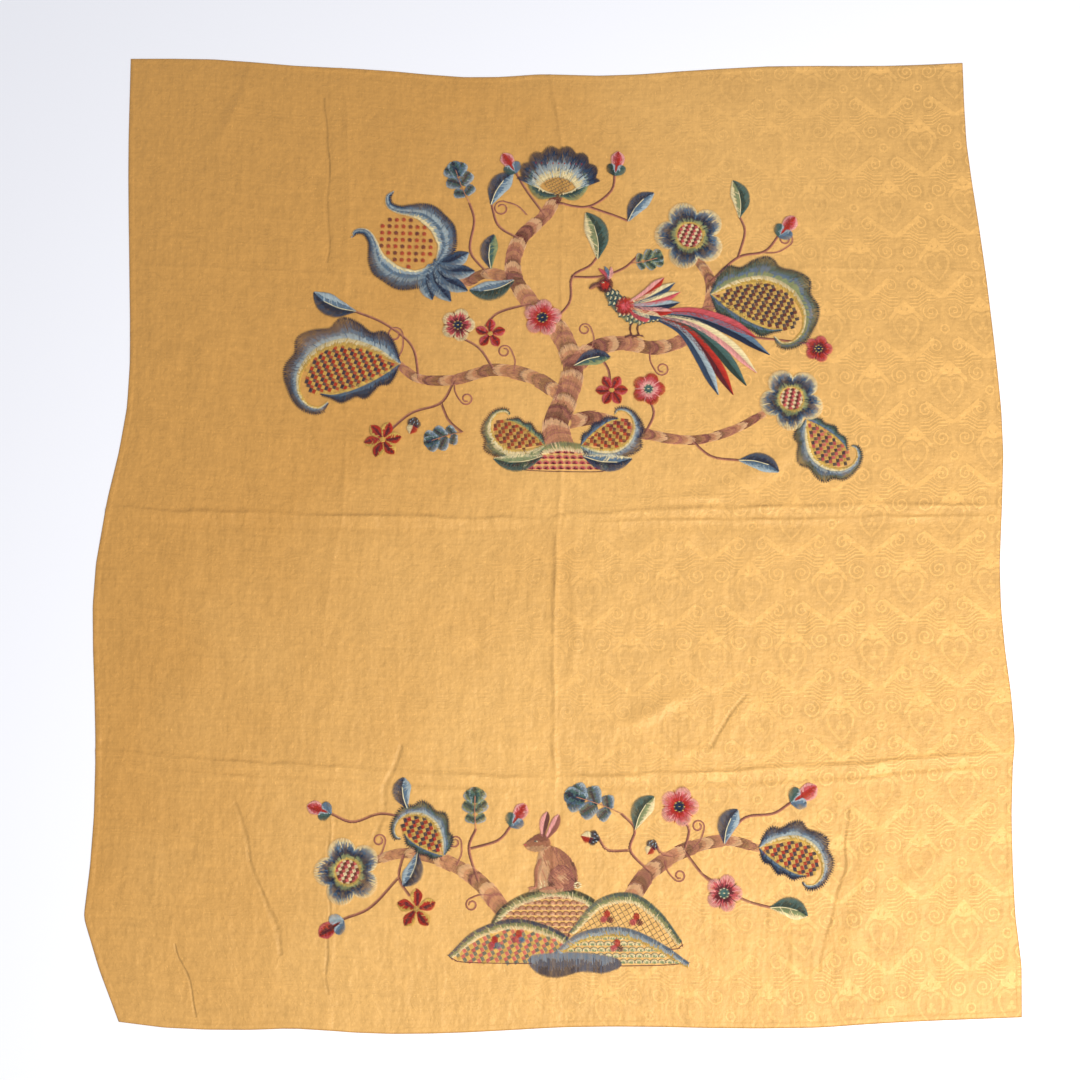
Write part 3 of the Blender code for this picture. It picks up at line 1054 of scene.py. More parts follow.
def acorn(work, place, size, nut=("red", "cream"), cup=("navy", "pale_blue")):
    """An acorn that hangs along its own x: a satin nut in a cross-stitched cup."""
    frond(work, place, size, ((36, 0), (70, 0), (104, 0)), (24, 29, 24, 12, 1), (nut[:1], nut[1:]), lean=0.5)
    frond(work, place, size, ((0, 0), (24, 0), (46, 0)), (12, 34, 36, 30), (cup[:1],), lean=0.2, lift=0.4)
    dots = ((14, -14), (14, 14), (30, -22), (28, 0), (30, 22))
    knots(work, place, sized(dots, size), cup[1], size=2.2, lift=1.0)


def tendril(work, place, size):
    """A stem that runs out and winds up."""
    coil = np.linspace(0, 2.5 * math.pi, 22)
    radius = size * 0.25 * (1 - 0.55 * coil / coil[-1])
    spiral = sized((80, 20), size) + np.stack([np.sin(coil), -np.cos(coil)], 1) * radius[:, None]
    stem(work, place, np.vstack([[(0, 0), (size * 0.4, -size * 0.12)], spiral]), ("rosewood", "tan"), stitch=4.5)


def twig(work, place, points, wools=("tan", "rosewood", "umber")):
    """A thin stem of a few rows, paler on one side."""
    stem(work, place, points, wools)


def hillock(work, place, ridge, foot, rim, fill):
    """A mound: a satin rim that follows its ridge, over a filling of its own kind."""
    top = smooth_line(ridge, ROW)
    way, out = ways(top)
    depth = 15.0 * np.sin(np.linspace(0.2, math.pi - 0.2, len(top))) ** 0.4 * chance.uniform(0.85, 1.0, len(top))
    inner = top - out * depth[:, None] + way * 3
    work.clear(place(np.vstack([top[::4], foot])))
    fill(np.vstack([inner[::4], foot]))
    stem(work, place, np.vstack([ridge[-1:], foot, ridge[:1]]), ("umber",), lift=0.3)
    for k in range(len(rim)):
        band(work, place, top, inner, rim, k, 0.3)


def bird(work, place, size):
    """A long-tailed bird that looks along its own x: scaled body, feathered wing, plumed tail and a crest."""
    tail = (
        (8, 140, 44, ("red", "rose")), (2, 160, 66, ("navy", "blue")), (-4, 140, 88, ("pink", "cream")),
        (-8, 124, 104, ("forest", "teal")), (-12, 104, 114, ("maroon", "red")), (-14, 82, 112, ("indigo", "pale_blue")),
    )
    for low, long, drop, (dark, light) in tail:
        bends = ((40 + long * 0.3, drop * 0.12), (36 + long * 0.7, drop * 0.5), (36 + long, drop))
        spine = ((-24, low * 0.4), *((-back, low - down) for back, down in bends))
        frond(work, place, size, spine, (2, 5.5, 7.5, 7, 0.5), ((dark,), (light,)), lean=1.2)
    body = round_of((
        (-40, -2), (-16, 15), (12, 19), (30, 33), (42, 42), (51, 38), (47, 22), (34, 3), (14, -14), (-14, -13),
    ), size)
    area(work, place, body, 25, lambda x, y: "teal" if y > 0 else "sage")
    scales(work, place, body, 8.5 * size / 100, ("cream", "teal", "navy"), 195)
    shoulder = sized((20, 12), size)
    feathers = (("red", "pink"), ("indigo", "cream"), ("rose", "cream"), ("navy", "pale_blue"))
    for k, (turn, long) in enumerate(((143, 74), (154, 84), (165, 86), (176, 82), (187, 72), (198, 56), (209, 42))):
        dark, light = feathers[k % 4]
        spine = ((8, 0), (long * 0.5, 3), (long, 0))
        own = place.at(*shoulder, turn)
        frond(work, own, size, spine, (3, 5.5, 6, 0.5), ((dark,), (light,)), lean=1.1, lift=0.7)
    fan(work, place.at(*shoulder), 0.5, lobed(14 * size / 100, 9, 0.12), ("rose", "red"), lift=1.0)
    fan(work, place.at(*sized((50, 46), size)), 0.4, 12 * size / 100, ("red", "maroon"), lift=0.6)
    frond(work, place, size, ((57, 47), (66, 45), (74, 39)), (3, 3.5, 0.5), (("umber",), ("tan",)), lift=0.5)
    knots(work, place, sized((53, 49), size), "cream", size=3.4, lift=1.3)
    knots(work, place, sized((53.5, 49), size), "navy", size=1.8, lift=1.7)
    for turn, wool in ((70, "rose"), (95, "blue"), (120, "pink")):
        own = place.at(*sized((47, 53), size), turn)
        frond(work, own, size, ((0, 0), (10, 1), (22, -5)), (1, 3, 0.5), ((wool,),), lift=0.5)
    for x in (-2, 9):
        for leg in (((x, -12), (x + 4, -24), (x + 1, -34)), ((x - 6, -36), (x + 1, -33), (x + 11, -37))):
            twig(work, place, sized(leg, size), ("umber", "umber"))


def hare(work, place, size):
    """A sitting hare that looks along its own x, its fur shaded from a dark back to a pale chest."""
    unit = size / 100

    def fur(x, y):
        pale = (x + 0.35 * (60 * unit - y)) / (size * 0.42) + chance.uniform(-0.25, 0.25)
        return ("umber", "rosewood", "tan", "fawn", "cream")[int(np.clip(pale * 2 + 2.2, 0, 4))]

    def haunch_fur(x, y):
        away = math.hypot(x + 14 * unit, y - 17 * unit) / (size * 0.19) + chance.uniform(-0.15, 0.15)
        return ("fawn", "tan", "rosewood", "umber")[int(np.clip(away * 3.2, 0, 3))]

    def head_fur(x, y):
        return ("rosewood", "tan", "fawn")[int(np.clip((78 * unit - y) / (8 * unit), 0, 2))]

    for ear, dark in ((((8, 74), (-2, 90), (-10, 108)), "rosewood"), (((14, 76), (12, 94), (7, 112)), "umber")):
        frond(work, place, size, ear, (3, 6, 5, 0.5), ((dark,), ("pink",)), lean=1.0)
    body = ((-30, 0), (-37, 20), (-29, 42), (-12, 57), (6, 62), (18, 54), (23, 34), (22, 12), (14, 0))
    area(work, place, round_of(body, size), 68, fur, stitch=8)
    legs = (("tan",), ("fawn",))
    frond(work, place, size, ((15, 44), (21, 24), (22, 4), (32, 0)), (4, 5, 4, 4, 3), legs, lift=0.5)
    haunch = ((-32, 10), (-28, 28), (-12, 35), (3, 25), (6, 8), (-6, -1), (-24, 0))
    area(work, place, round_of(haunch, size), 40, haunch_fur, stitch=7, lift=0.5)
    frond(work, place, size, ((-16, 2), (2, 0), (18, -1)), (4, 5, 4, 1), legs, lift=0.8)
    head = ((3, 62), (6, 74), (17, 80), (30, 74), (40, 64), (33, 56), (18, 54))
    area(work, place, round_of(head, size), -20, head_fur, stitch=6, lift=0.5)
    for x, y, wool, wide, lift in (
        (24, 69, "cream", 4.0, 1.2), (24.5, 69, "navy", 2.6, 1.6), (40, 64, "rose", 2.6, 1.2),
    ):
        knots(work, place, sized((x, y), size), wool, size=wide, lift=lift)
    tail = sized((-37, 6), size)
    knots(work, place, arc(40, size * 0.04) + tail, "cream", size=3.2)
    knots(work, place, tail, "fawn", size=3.2)


# ---------------------------------------------------------------- the design: a flowering tree over a hare's mound

# Wools that several motifs share.
GREENS = (("forest", "teal"), ("sage", "cream"))
BLUE_RIM = (*BLUES, "cream")
SEA_RIM = ("forest", "teal", "blue", "pale_blue", "cream")
RUSSET = ("maroon", "straw", "red")
# Trunks and branches. Columns: points, widths.
TREE_LIMBS = (
    (((-58, 372), (-100, 384), (-140, 370), (-176, 392)), (18, 16, 14, 12)),
    (((16, 185), (-30, 216), (-90, 228), (-150, 212), (-205, 214), (-240, 240)), (22, 19, 16, 14, 11)),
    (((26, 225), (62, 262), (110, 272), (158, 264), (205, 280), (238, 322), (244, 370), (224, 408)),
     (26, 23, 20, 18, 15, 13)),
    (((20, 145), (70, 152), (140, 128), (210, 118), (270, 132), (322, 160)), (20, 17, 14, 12, 10)),
    (((14, 100), (4, 140), (22, 190), (30, 240), (6, 295), (-34, 335), (-62, 385), (-50, 440), (-12, 480), (8, 514)),
     (40, 34, 31, 29, 26, 24, 22, 19, 16)),
)
MOUND_LIMBS = (
    (((-70, -580), (-108, -536), (-160, -506), (-215, -496), (-262, -508)), (24, 21, 17, 13, 9)),
    (((105, -566), (138, -522), (188, -492), (248, -478), (300, -490)), (24, 21, 17, 13, 9)),
)
# Thin stems of the tree and of the mound.
TREE_TWIGS = (
    ((-100, 384), (-128, 420), (-122, 470), (-130, 500)),
    ((-50, 440), (-84, 462), (-96, 500)),
    ((-12, 480), (-40, 520), (-58, 552)),
    ((-6, 300), (26, 336), (30, 378), (58, 396), (70, 412)),
    ((30, 378), (72, 378), (110, 392), (130, 410)),
    ((8, 500), (56, 494), (92, 520), (98, 548)),
    ((56, 494), (100, 478), (118, 470)),
    ((-150, 212), (-170, 176), (-215, 160), (-250, 130)),
    ((-170, 176), (-158, 148), (-138, 130)),
    ((-90, 228), (-112, 262), (-140, 280)),
    ((-34, 335), (-84, 320), (-104, 298)),
    ((-205, 214), (-216, 266), (-258, 302), (-304, 322)),
    ((238, 322), (290, 286), (350, 276), (398, 270)),
    ((244, 370), (288, 410), (330, 420), (352, 446)),
    ((288, 410), (300, 452), (292, 478)),
    ((210, 118), (240, 92), (282, 86)),
    ((140, 128), (154, 158), (148, 180)),
    ((62, 262), (84, 232), (88, 206)),
)
MOUND_TWIGS = (
    ((-160, -506), (-176, -470), (-206, -448), (-212, -430)),
    ((-206, -448), (-250, -440), (-290, -452), (-322, -440)),
    ((-215, -496), (-222, -530), (-206, -556)),
    ((-222, -530), (-262, -572), (-300, -588)),
    ((-108, -536), (-122, -490), (-112, -462)),
    ((-122, -490), (-80, -478), (-62, -458)),
    ((138, -522), (110, -492), (118, -462), (98, -440)),
    ((110, -492), (78, -492), (66, -476)),
    ((172, -500), (154, -496), (147, -482)),
    ((188, -492), (196, -462), (184, -448)),
    ((188, -492), (214, -526), (232, -540)),
    ((248, -478), (276, -446), (318, -440), (344, -424)),
    ((214, -526), (270, -560), (310, -572)),
)
# Motifs. Columns: motif, x, y, turn in degrees, mirrored, and the motif's own sizes and wools.
GREAT_LEAVES = (
    (curled_leaf, -234, 238, 180, True, (170,)),
    (curled_leaf, 244, 350, -6, False, (162, ("forest", "teal", "blue", "sage", "cream"), ("maroon", "straw", "navy"))),
    (curled_leaf, 386, 150, -62, True, (104, SEA_RIM, ("rose", "straw", "navy"))),
    (curled_leaf, -12, 108, 168, False, (96, ("forest", "teal", "sage", "cream"), RUSSET, "umber")),
    (curled_leaf, 42, 108, 14, True, (96, BLUE_RIM, RUSSET)),
)
TREE_LEAVES = (
    (oak_leaf, -130, 500, 112, False, (72, 42)),
    (leaf, -96, 498, 60, False, (62, 30)),
    (leaf, 70, 408, 100, True, (78, 34, *GREENS)),
    (oak_leaf, 122, 400, 12, True, (50, 34, ("forest", "teal"), ("sage", "pale_blue"))),
    (leaf, 118, 470, 52, False, (62, 26)),
    (oak_leaf, -136, 130, 196, True, (60, 38)),
    (leaf, -60, 372, 196, False, (70, 30, ("forest", "teal"), ("blue", "pale_blue"))),
    (leaf, -96, 392, 88, False, (56, 26, ("navy", "indigo"), ("teal", "sage"))),
    (leaf, -304, 322, 158, False, (72, 32)),
    (leaf, 292, 476, 95, True, (62, 28, *GREENS)),
    (leaf, 282, 86, -14, False, (62, 26)),
    (leaf, 34, 236, 16, False, (56, 24, ("navy", "indigo"), ("teal", "sage"))),
    (leaf, 46, 92, -6, True, (74, 26, ("navy", "indigo"), ("blue", "cream"))),
    (leaf, -16, 92, 186, False, (74, 26, *GREENS)),
)
TREE_FLOWERS = (
    (carnation, 8, 510, 88, False, (100,)),
    (pomegranate, -180, 396, 140, False, (124,)),
    (peony, 214, 446, 0, False, (110,)),
    (peony, 364, 182, 12, False, (98,)),
    (rose, -16, 312, 10, False, (58,)),
    (rose, -146, 300, 0, False, (52, 5, ("maroon", "rose", "cream"))),
    (star, -96, 286, 15, False, (48, 5)),
    (rose, 146, 198, 0, False, (50, 5, ("pink", "rose", "red"), ("teal", "cream"))),
    (star, 90, 196, 0, False, (50,)),
    (star, -258, 118, 10, False, (58, 6, (("red", "straw"), ("maroon", "red")))),
    (rose, 408, 262, 0, False, (42, 5, ("maroon", "red", "rose"))),
    (bud, -58, 550, 120, False, (38,)),
    (bud, 98, 546, 80, False, (40, ("red", "rose", "pink"), ("forest", "teal"))),
    (bud, 352, 444, 50, False, (42,)),
    (acorn, -208, 152, 250, False, (26,)),
)
MOUND_LEAVES = (
    (curled_leaf, -158, -500, 128, True, (88, SEA_RIM)),
    (curled_leaf, 296, -488, -8, False, (104,)),
    (leaf, -212, -432, 100, False, (44, 26)),
    (oak_leaf, -112, -464, 92, False, (60, 36, ("forest", "teal"), ("sage", "pale_blue"))),
    (oak_leaf, 98, -440, 160, True, (84, 46)),
    (leaf, 118, -462, 62, False, (54, 28, *GREENS)),
    (leaf, -196, -496, 250, False, (50, 26)),
    (leaf, 310, -572, -10, False, (54, 28, *GREENS)),
    (leaf, 246, -482, 70, False, (52, 28)),
)
MOUND_FLOWERS = (
    (peony, -296, -522, 0, False, (96,)),
    (rose, 182, -430, 0, False, (56,)),
    (rose, 244, -552, 0, False, (52, 5, ("maroon", "rose", "pink"), ("teal", "cream"))),
    (star, -196, -574, 20, False, (58, 5, (("red", "straw"), ("maroon", "red")))),
    (bud, -322, -440, 160, False, (36,)),
    (bud, -300, -590, 210, False, (40, ("maroon", "red", "rose"), ("blue", "pale_blue"))),
    (bud, -62, -458, 55, False, (38,)),
    (bud, 344, -424, 30, False, (44,)),
    (acorn, 66, -476, 170, False, (26,)),
    (acorn, 146, -478, 240, False, (22,)),
)
BIRD = ((bird, 132, 318, 180, True, (102,)),)
HARE = ((hare, -2, -547, 180, True, (98,)),)
# Tendrils. Columns: x, y, turn in degrees, size.
TREE_TENDRILS = (
    (-40, 480, 150, 50), (-172, 396, 250, 44), (60, 262, 95, 40), (254, 330, 200, 44), (-240, 244, 80, 50),
    (150, 262, 285, 44), (-60, 226, 100, 42), (330, 418, 20, 48), (-150, 210, 290, 40), (210, 282, 330, 44),
)
MOUND_TENDRILS = (
    (-140, -512, 80, 38), (-260, -508, 60, 38), (200, -488, 60, 38), (160, -506, 300, 36), (-90, -556, 190, 36),
)
# Hillocks, the farthest first. Columns: ridge, foot, rim wools, filling, the filling's settings.
TREE_HILLOCKS = (
    (((-50, 78), (-26, 104), (16, 114), (60, 104), (84, 76)), ((70, 68), (-36, 70)),
     ("sage", "cream"), scales, (11, ("maroon", "rose", "fawn"), 90)),
)
MOUND_HILLOCKS = (
    (((-100, -612), (-70, -568), (-8, -544), (50, -556), (88, -594)), ((84, -622), (-90, -624)),
     ("forest", "sage", "cream"), scales, (10, ("fawn", "tan", "umber"), 90)),
    (((22, -606), (62, -562), (112, -552), (152, -578), (182, -618)), ((170, -630), (30, -630)),
     ("teal", "sage", "cream"), trellis, (7.0, "navy", "straw")),
    (((-150, -638), (-112, -604), (-56, -588), (2, -602), (50, -636)), ((40, -648), (-122, -648)),
     ("indigo", "sage", "cream"), checks, (5.6, ("straw", "rose", "teal"), 30)),
    (((-16, -648), (36, -608), (98, -600), (150, -620), (192, -648)), ((150, -652), (20, -653)),
     ("blue", "pale_blue", "straw"), scales, (11, ("sage", "cream", "teal"), 90)),
)


def hillocks(work, rows):
    here = Place(0, 0)
    for ridge, foot, rim, filling, settings in rows:
        hillock(work, here, ridge, foot, rim, lambda outline: filling(work, here, outline, *settings))


def pool(work):
    """A dark pool under the mound, paler at its brink, and berries on the hillocks."""
    here = Place(0, 0)
    brink = ((-34, -640), (20, -634), (82, -640), (96, -652), (70, -662), (40, -660), (4, -668), (-26, -660))
    brink = smooth_line(brink, 3, True)
    work.clear(brink)
    depth = ("navy", "indigo", "blue")
    area(work, here, brink, 90, lambda x, y: depth[int(np.clip((y + 668) / 11, 0, 2))], stitch=10, lift=0.2)
    for x, y in ((-84, -622), (-50, -614), (76, -586), (118, -590), (90, -626)):
        for turn, wool in ((90, "red"), (210, "rose"), (330, "blue" if x < 0 else "maroon")):
            spots(work, Place(x, y, turn), (5.2, 0), wool, 9.0, lift=0.8)


def motifs(work, rows):
    for motif, x, y, turn, flip, settings in rows:
        motif(work, Place(x, y, turn, flip), *settings)


def limbs(work, branches, twigs, tendrils):
    for points in twigs:
        twig(work, Place(0, 0), points)
    for x, y, turn, size in tendrils:
        tendril(work, Place(x, y, turn), size)
    for k, (points, widths) in enumerate(branches):
        trunk(work, Place(0, 0), points, widths, tint=k % 2)


# ---------------------------------------------------------------- yarn


def wool_material(name, colour):
    """Two-ply crewel wool, dyed: matt, with a soft fuzz and an uneven dye along the yarn."""
    material, tree, shader = new_material("wool_" + name)
    place = add(tree, "ShaderNodeTexCoord").outputs["Object"]
    dye, fibre = (
        terms(add(tree, "ShaderNodeTexNoise", {"Vector": place, "Scale": 1 / (size * MM), "Detail": 2.0}))[0]
        for size in (5, 0.5)
    )
    each = Term(tree, add(tree, "ShaderNodeNewGeometry").outputs["Random Per Island"])
    tone = each * 0.3 + (dye * 0.4 + 0.54) + fibre * 0.34
    dyed = add(tree, "ShaderNodeVectorMath", {0: colour[:3], "Scale": tone}, operation="SCALE")
    bump = add(tree, "ShaderNodeBump", {"Height": fibre, "Distance": 0.3 * MM, "Strength": 0.7})
    feed(tree, shader, {
        "Base Color": dyed, "Normal": bump, "Roughness": 0.85, "Specular IOR Level": 0.25, "Sheen Weight": 0.12,
        "Sheen Roughness": 0.5,
    })
    return material


# What each point carries for its stitch. Columns: name, kind, the field that holds it.
ON_POINTS = (("turn", "FLOAT_VECTOR", "vector"), ("size", "FLOAT_VECTOR", "vector"), ("wool", "INT", "value"))
# Places along a yarn, from end to end.
PLACES_ALONG = 4


def stitch_tree(wools):
    """Geometry nodes that lay one yarn stitch on each point, as its turn, size and wool attributes say."""
    tree = bpy.data.node_groups.new("crewel_stitches", "GeometryNodeTree")
    for name, in_out, kind in (
        ("Points", "INPUT", "Geometry"), ("Sides", "INPUT", "Int"), ("Narrowing", "INPUT", "Float"),
        ("Dip", "INPUT", "Float"), ("Stitches", "OUTPUT", "Geometry"),
    ):
        tree.interface.new_socket(name, in_out=in_out, socket_type="NodeSocket" + kind)
    points, sides, narrowing, dip = add(tree, "NodeGroupInput").outputs[:4]
    axis = add(tree, "GeometryNodeCurvePrimitiveLine", {"Start": (-0.5, 0, 0), "End": (0.5, 0, 0)})
    line = add(tree, "GeometryNodeResampleCurve", {"Curve": axis, "Count": PLACES_ALONG})
    # The places along the yarn are pushed out to its ends, where it narrows and dips into the cloth.
    x = terms(add(tree, "ShaderNodeSeparateXYZ", [add(tree, "GeometryNodeInputPosition")]))[0]
    middling = x * x
    across = (middling * narrowing * -4.0 + 1.0) * 0.5
    bent = add(tree, "ShaderNodeCombineXYZ", [x * (middling * -5.22 + 2.305), None, middling * dip * -4.0])
    shaped = add(tree, "GeometryNodeSetPosition", {"Geometry": line, "Position": bent})
    thinned = add(tree, "GeometryNodeSetCurveRadius", {"Curve": shaped, "Radius": across})
    ring = add(tree, "GeometryNodeCurvePrimitiveCircle", {"Resolution": sides, "Radius": 1.0})
    section = {"Curve": thinned, "Profile Curve": ring, "Fill Caps": True}
    section["Scale"] = add(tree, "GeometryNodeInputRadius")
    yarn = add(tree, "GeometryNodeCurveToMesh", section)
    turn, size, dyed = (
        add(tree, "GeometryNodeInputNamedAttribute", {"Name": name}, data_type=kind) for name, kind, _ in ON_POINTS
    )
    laid = {"Points": points, "Instance": yarn, "Rotation": turn, "Scale": size}
    laid = add(tree, "GeometryNodeInstanceOnPoints", laid)
    last = add(tree, "GeometryNodeSetShadeSmooth", [add(tree, "GeometryNodeRealizeInstances", [laid])])
    for k, material in wools.items():
        same = add(tree, "FunctionNodeCompare", {2: dyed, 3: k}, data_type="INT", operation="EQUAL")
        last = add(tree, "GeometryNodeSetMaterial", {"Geometry": last, "Selection": same, "Material": material})
    add(tree, "NodeGroupOutput", [last])
    return tree


def embroider(context, name, work):
    """Makes one piece of embroidery out of its stitches, as a plain mesh that rides with the cloth."""
    place, *carried = work.points(context.scene.crewel_cloth.thickness / MM)
    points = bpy.data.meshes.new(name)
    points.from_pydata(place.tolist(), [], [])
    for (key, kind, field), values in zip(ON_POINTS, carried):
        points.attributes.new(key, kind, "POINT").data.foreach_set(field, values.ravel())
    piece = bpy.data.objects.new(name, points)
    context.scene.collection.objects.link(piece)
    look = context.scene.crewel_wool
    dyes = {}
    for k in np.unique(carried[-1]).tolist():
        wool = WOOLS[k][0]
        dyes[k] = bpy.data.materials.get("wool_" + wool) or wool_material(wool, getattr(look, wool))
    tree = stitch_tree(dyes)
    made = piece.modifiers.new("stitches", "NODES")
    made.node_group = tree
    for item in tree.interface.items_tree:
        if item.name in ("Sides", "Narrowing", "Dip"):
            made[item.identifier] = getattr(look, item.name.lower())
    mesh = bpy.data.meshes.new_from_object(piece.evaluated_get(context.evaluated_depsgraph_get()))
    piece.modifiers.remove(made)
    piece.data = mesh
    for key, _, _ in ON_POINTS:
        if key in mesh.attributes:
            mesh.attributes.remove(mesh.attributes[key])
    bpy.data.meshes.remove(points)
    bpy.data.node_groups.remove(tree)
    mesh.name = name
    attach(piece, "root")
    print(name, len(place), "stitches", len(mesh.polygons), "faces", len(mesh.materials), "wools")


# ---------------------------------------------------------------- what a user can change


def length(name, description, millimetres):
    return bpy.props.FloatProperty(name=name, description=description, default=millimetres * MM, unit="LENGTH")


def factor(name, description, value):
    return bpy.props.FloatProperty(name=name, description=description, default=value, subtype="FACTOR")


def colour(name, description, hex_colour):
    return bpy.props.FloatVectorProperty(
        name=name, description=description, size=4, subtype="COLOR", default=linear(hex_colour)
    )


class CREWEL_cloth(bpy.types.PropertyGroup):
    thickness: length("Cloth thickness", "How thick the single cloth is drawn", 1.1)
    hem: length("Hem width", "Width of the turned hem, to its stitch line", 9)
    gold: colour("Gold", "The silk's colour", "#d8a75f")
    # The colour of the browned hem edge, and of the painted shade on the left side and the top.
    soiled: colour("Soiled gold", "The silk where it has browned", "#b87e30")
    repeat_width: length("Repeat width", "The damask repeat across the loom", 121.5)
    repeat_height: length("Repeat height", "The damask repeat along the cloth", 205)
    # How much darker the figure's painted sheen makes it.
    contrast: factor("Figure contrast", "How much darker the woven figure looks", 0.15)
    roughness: factor("Silk roughness", "Roughness of the satin ground", 0.4)


class CREWEL_wool(bpy.types.PropertyGroup):
    sides: bpy.props.IntProperty(name="Yarn sides", description="Sides of a stitch's section", default=3)
    narrowing: factor("Narrowing", "How much a stitch thins at its ends", 0.5)
    dip: bpy.props.FloatProperty(
        name="Dip", description="How far a stitch's ends go into the cloth, in yarn heights", default=0.5
    )
    __annotations__.update({
        name: colour(name.replace("_", " ").capitalize(), "Colour of this wool", dye) for name, dye in WOOLS
    })


class CREWEL_stage(bpy.types.PropertyGroup):
    key_power: bpy.props.FloatProperty(
        name="Key light", description="Power of the large light from the lower right", default=75.0, unit="POWER"
    )
    fill: factor("Fill", "Strength of the even white surround", 0.632)


# ---------------------------------------------------------------- operators


class CREWEL_OT_cloth(bpy.types.Operator):
    """Make the hemmed silk damask, lying with its fold creases"""

    bl_idname = "crewel.cloth"
    bl_label = "Silk damask"

    def execute(self, context):
        look = context.scene.crewel_cloth
        mesh = cloth_mesh(look.thickness / MM, look.hem / MM)
        mesh.materials.append(silk_damask(look))
        cloth = bpy.data.objects.new("damask_cloth", mesh)
        context.scene.collection.objects.link(cloth)
        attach(cloth, "root")
        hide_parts(SHEET)
        return {"FINISHED"}


class Embroidery:
    """What the embroidery operators share: each sews its own motifs, at its base lift off the cloth in mm."""

    base = 0.0

    def execute(self, context):
        work = Stitches(self.base)
        self.sew(work)
        embroider(context, piece_of(type(self)), work)
        return {"FINISHED"}


def piece_of(operator):
    """The name of the piece that an embroidery operator makes."""
    return operator.bl_idname.split(".")[1]


class CREWEL_OT_tree_limbs(Embroidery, bpy.types.Operator):
    """Embroider the tree's trunk, branches and tendrils"""

    bl_idname = "crewel.tree_limbs"
    bl_label = "Tree: limbs"

    def sew(self, work):
        limbs(work, TREE_LIMBS, TREE_TWIGS, TREE_TENDRILS)
        hillocks(work, TREE_HILLOCKS)


class CREWEL_OT_great_leaves(Embroidery, bpy.types.Operator):
    """Embroider the tree's large curled leaves"""

    bl_idname = "crewel.great_leaves"
    bl_label = "Tree: curled leaves"
    base = 0.4

    def sew(self, work):
        motifs(work, GREAT_LEAVES)


class CREWEL_OT_tree_leaves(Embroidery, bpy.types.Operator):
    """Embroider the tree's smaller leaves"""

    bl_idname = "crewel.tree_leaves"
    bl_label = "Tree: leaves"
    base = 0.6

    def sew(self, work):
        motifs(work, TREE_LEAVES)


class CREWEL_OT_tree_flowers(Embroidery, bpy.types.Operator):
    """Embroider the tree's flowers, fruit and buds"""

    bl_idname = "crewel.tree_flowers"
    bl_label = "Tree: flowers and fruit"
    base = 1.0

    def sew(self, work):
        motifs(work, TREE_FLOWERS)


class CREWEL_OT_bird(Embroidery, bpy.types.Operator):
    """Embroider the bird on its branch"""

    bl_idname = "crewel.bird"
    bl_label = "Bird"
    base = 1.2

    def sew(self, work):
        motifs(work, BIRD)


class CREWEL_OT_mound(Embroidery, bpy.types.Operator):
    """Embroider the mound and the branches that grow on it"""

    bl_idname = "crewel.mound"
    bl_label = "Mound"

    def sew(self, work):
        limbs(work, MOUND_LIMBS, MOUND_TWIGS, MOUND_TENDRILS)
        hillocks(work, MOUND_HILLOCKS)
        pool(work)


class CREWEL_OT_mound_flowers(Embroidery, bpy.types.Operator):
    """Embroider the leaves, flowers and fruit of the mound"""

    bl_idname = "crewel.mound_flowers"
    bl_label = "Mound: leaves and flowers"
    base = 0.6

    def sew(self, work):
        motifs(work, MOUND_LEAVES + MOUND_FLOWERS)


class CREWEL_OT_hare(Embroidery, bpy.types.Operator):
    """Embroider the hare that sits on the mound"""

    bl_idname = "crewel.hare"
    bl_label = "Hare"
    base = 0.8

    def sew(self, work):
        motifs(work, HARE)


# The stage, in metres and degrees: the floor, the key light, and the camera, which leans back by its tilt.
FLOOR_HALF = 6.0
FLOOR_COLOUR = "#f7f8fb"
FILL_COLOUR = "#f4f6ff"
KEY_COLOUR = (1.0, 0.97, 0.93)
KEY_SIDE = 1.5
KEY_PLACE = (1.44, -1.24, 2.04)
KEY_AIM = (0.25, -0.15, 0)
CAMERA_LENS = 50
CAMERA_SENSOR = 36
CAMERA_AIM = (-0.0195, -0.0365, 0)
CAMERA_TILT = 10.9
CAMERA_DISTANCE = 2.248


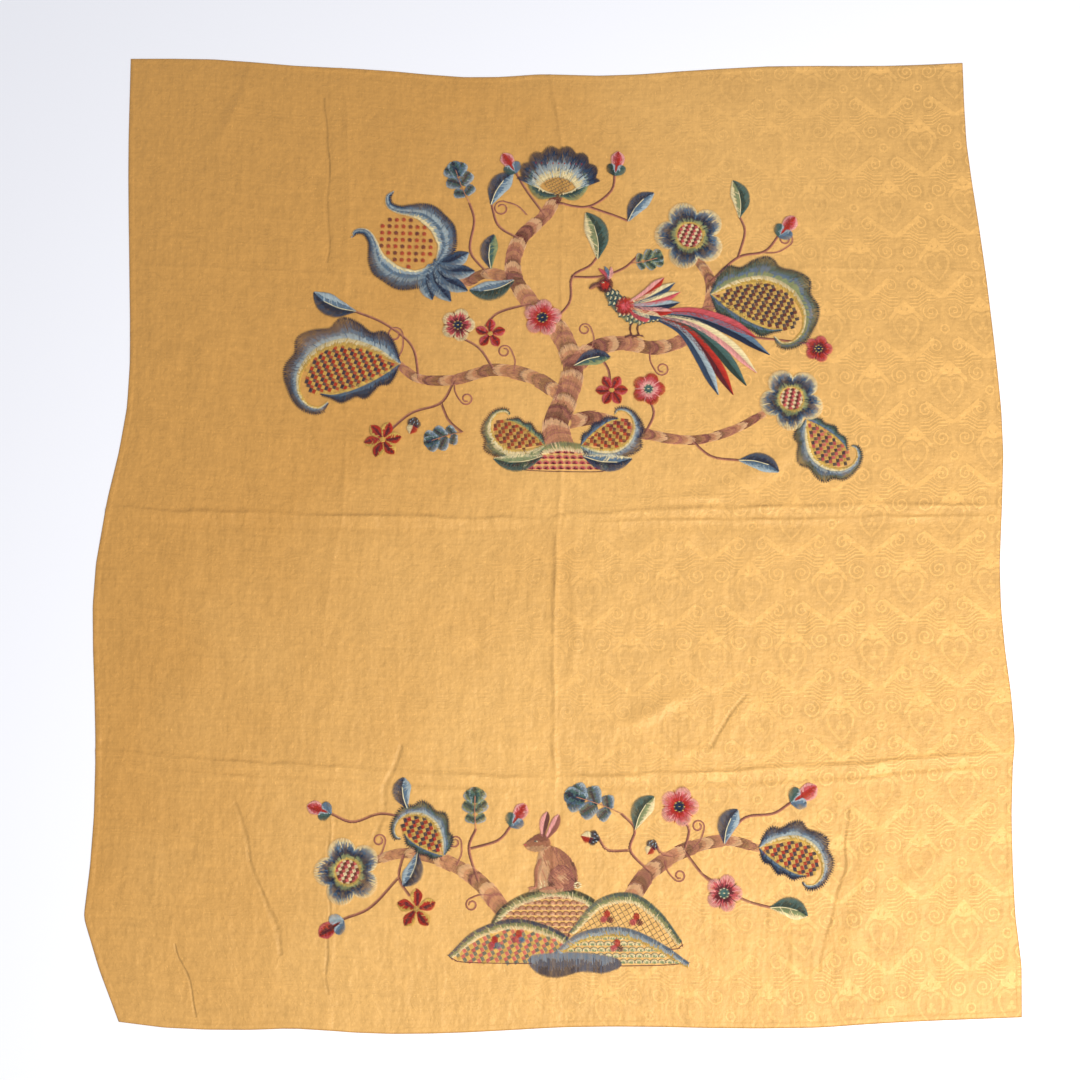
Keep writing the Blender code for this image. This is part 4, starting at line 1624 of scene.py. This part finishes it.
class CREWEL_OT_stage(bpy.types.Operator):
    """Make the pale floor, the soft studio light and the camera"""

    bl_idname = "crewel.stage"
    bl_label = "Stage"

    def execute(self, context):
        scene = context.scene
        look = scene.crewel_stage
        floor_mesh = bpy.data.meshes.new("floor")
        corners = [(x * FLOOR_HALF, y * FLOOR_HALF, 0) for x, y in ((-1, -1), (1, -1), (1, 1), (-1, 1))]
        floor_mesh.from_pydata(corners, [], [(0, 1, 2, 3)])
        material, tree, shader = new_material("pale_floor")
        feed(tree, shader, {"Base Color": linear(FLOOR_COLOUR), "Roughness": 0.9})
        floor_mesh.materials.append(material)
        floor = bpy.data.objects.new("floor", floor_mesh)

        scene.world = bpy.data.worlds.new("studio")
        scene.world.use_nodes = True
        surround = scene.world.node_tree
        feed(surround, surround.nodes["Background"], {"Color": linear(FILL_COLOUR), "Strength": look.fill})

        key = bpy.data.lights.new("key", "AREA")
        key.energy, key.color = look.key_power, KEY_COLOUR
        key.shape, key.size, key.size_y = "RECTANGLE", KEY_SIDE, KEY_SIDE
        lamp = bpy.data.objects.new("key", key)
        lamp.location = KEY_PLACE
        lamp.rotation_euler = (Vector(KEY_AIM) - lamp.location).to_track_quat("-Z", "Y").to_euler()

        camera = bpy.data.objects.new("camera", bpy.data.cameras.new("camera"))
        camera.data.lens, camera.data.sensor_width = CAMERA_LENS, CAMERA_SENSOR
        tilt = math.radians(CAMERA_TILT)
        camera.location = Vector(CAMERA_AIM) + Vector((0, -math.sin(tilt), math.cos(tilt))) * CAMERA_DISTANCE
        camera.rotation_euler = (tilt, 0, 0)
        for item in (floor, lamp, camera):
            scene.collection.objects.link(item)
        scene.camera = camera
        scene.view_settings.view_transform = "Standard"
        return {"FINISHED"}


class CREWEL_PT_panel(bpy.types.Panel):
    """Lists the pieces of the panel"""

    bl_idname = "CREWEL_PT_panel"
    bl_label = "Crewel panel"
    bl_space_type = "VIEW_3D"
    bl_region_type = "UI"
    bl_category = "Crewel"

    def draw(self, context):
        for key in GROUPS:
            group = getattr(context.scene, key)
            for name in group.__annotations__:
                self.layout.prop(group, name)
        for operator in OPERATORS:
            self.layout.operator(operator.bl_idname)


EMBROIDERY = (
    CREWEL_OT_tree_limbs,
    CREWEL_OT_great_leaves,
    CREWEL_OT_tree_leaves,
    CREWEL_OT_tree_flowers,
    CREWEL_OT_bird,
    CREWEL_OT_mound,
    CREWEL_OT_mound_flowers,
    CREWEL_OT_hare,
)
OPERATORS = (CREWEL_OT_stage, CREWEL_OT_cloth) + EMBROIDERY
GROUPS = {"crewel_cloth": CREWEL_cloth, "crewel_wool": CREWEL_wool, "crewel_stage": CREWEL_stage}
CLASSES = (*GROUPS.values(), CREWEL_PT_panel, *OPERATORS)


def register():
    for item in CLASSES:
        bpy.utils.register_class(item)
    for name, group in GROUPS.items():
        setattr(bpy.types.Scene, name, bpy.props.PointerProperty(type=group))


def unregister():
    for name in GROUPS:
        delattr(bpy.types.Scene, name)
    for item in reversed(CLASSES):
        bpy.utils.unregister_class(item)


def main():
    register()
    for operator in OPERATORS:
        group, name = operator.bl_idname.split(".")
        getattr(getattr(bpy.ops, group), name)()


if __name__ == "__main__":
    main()
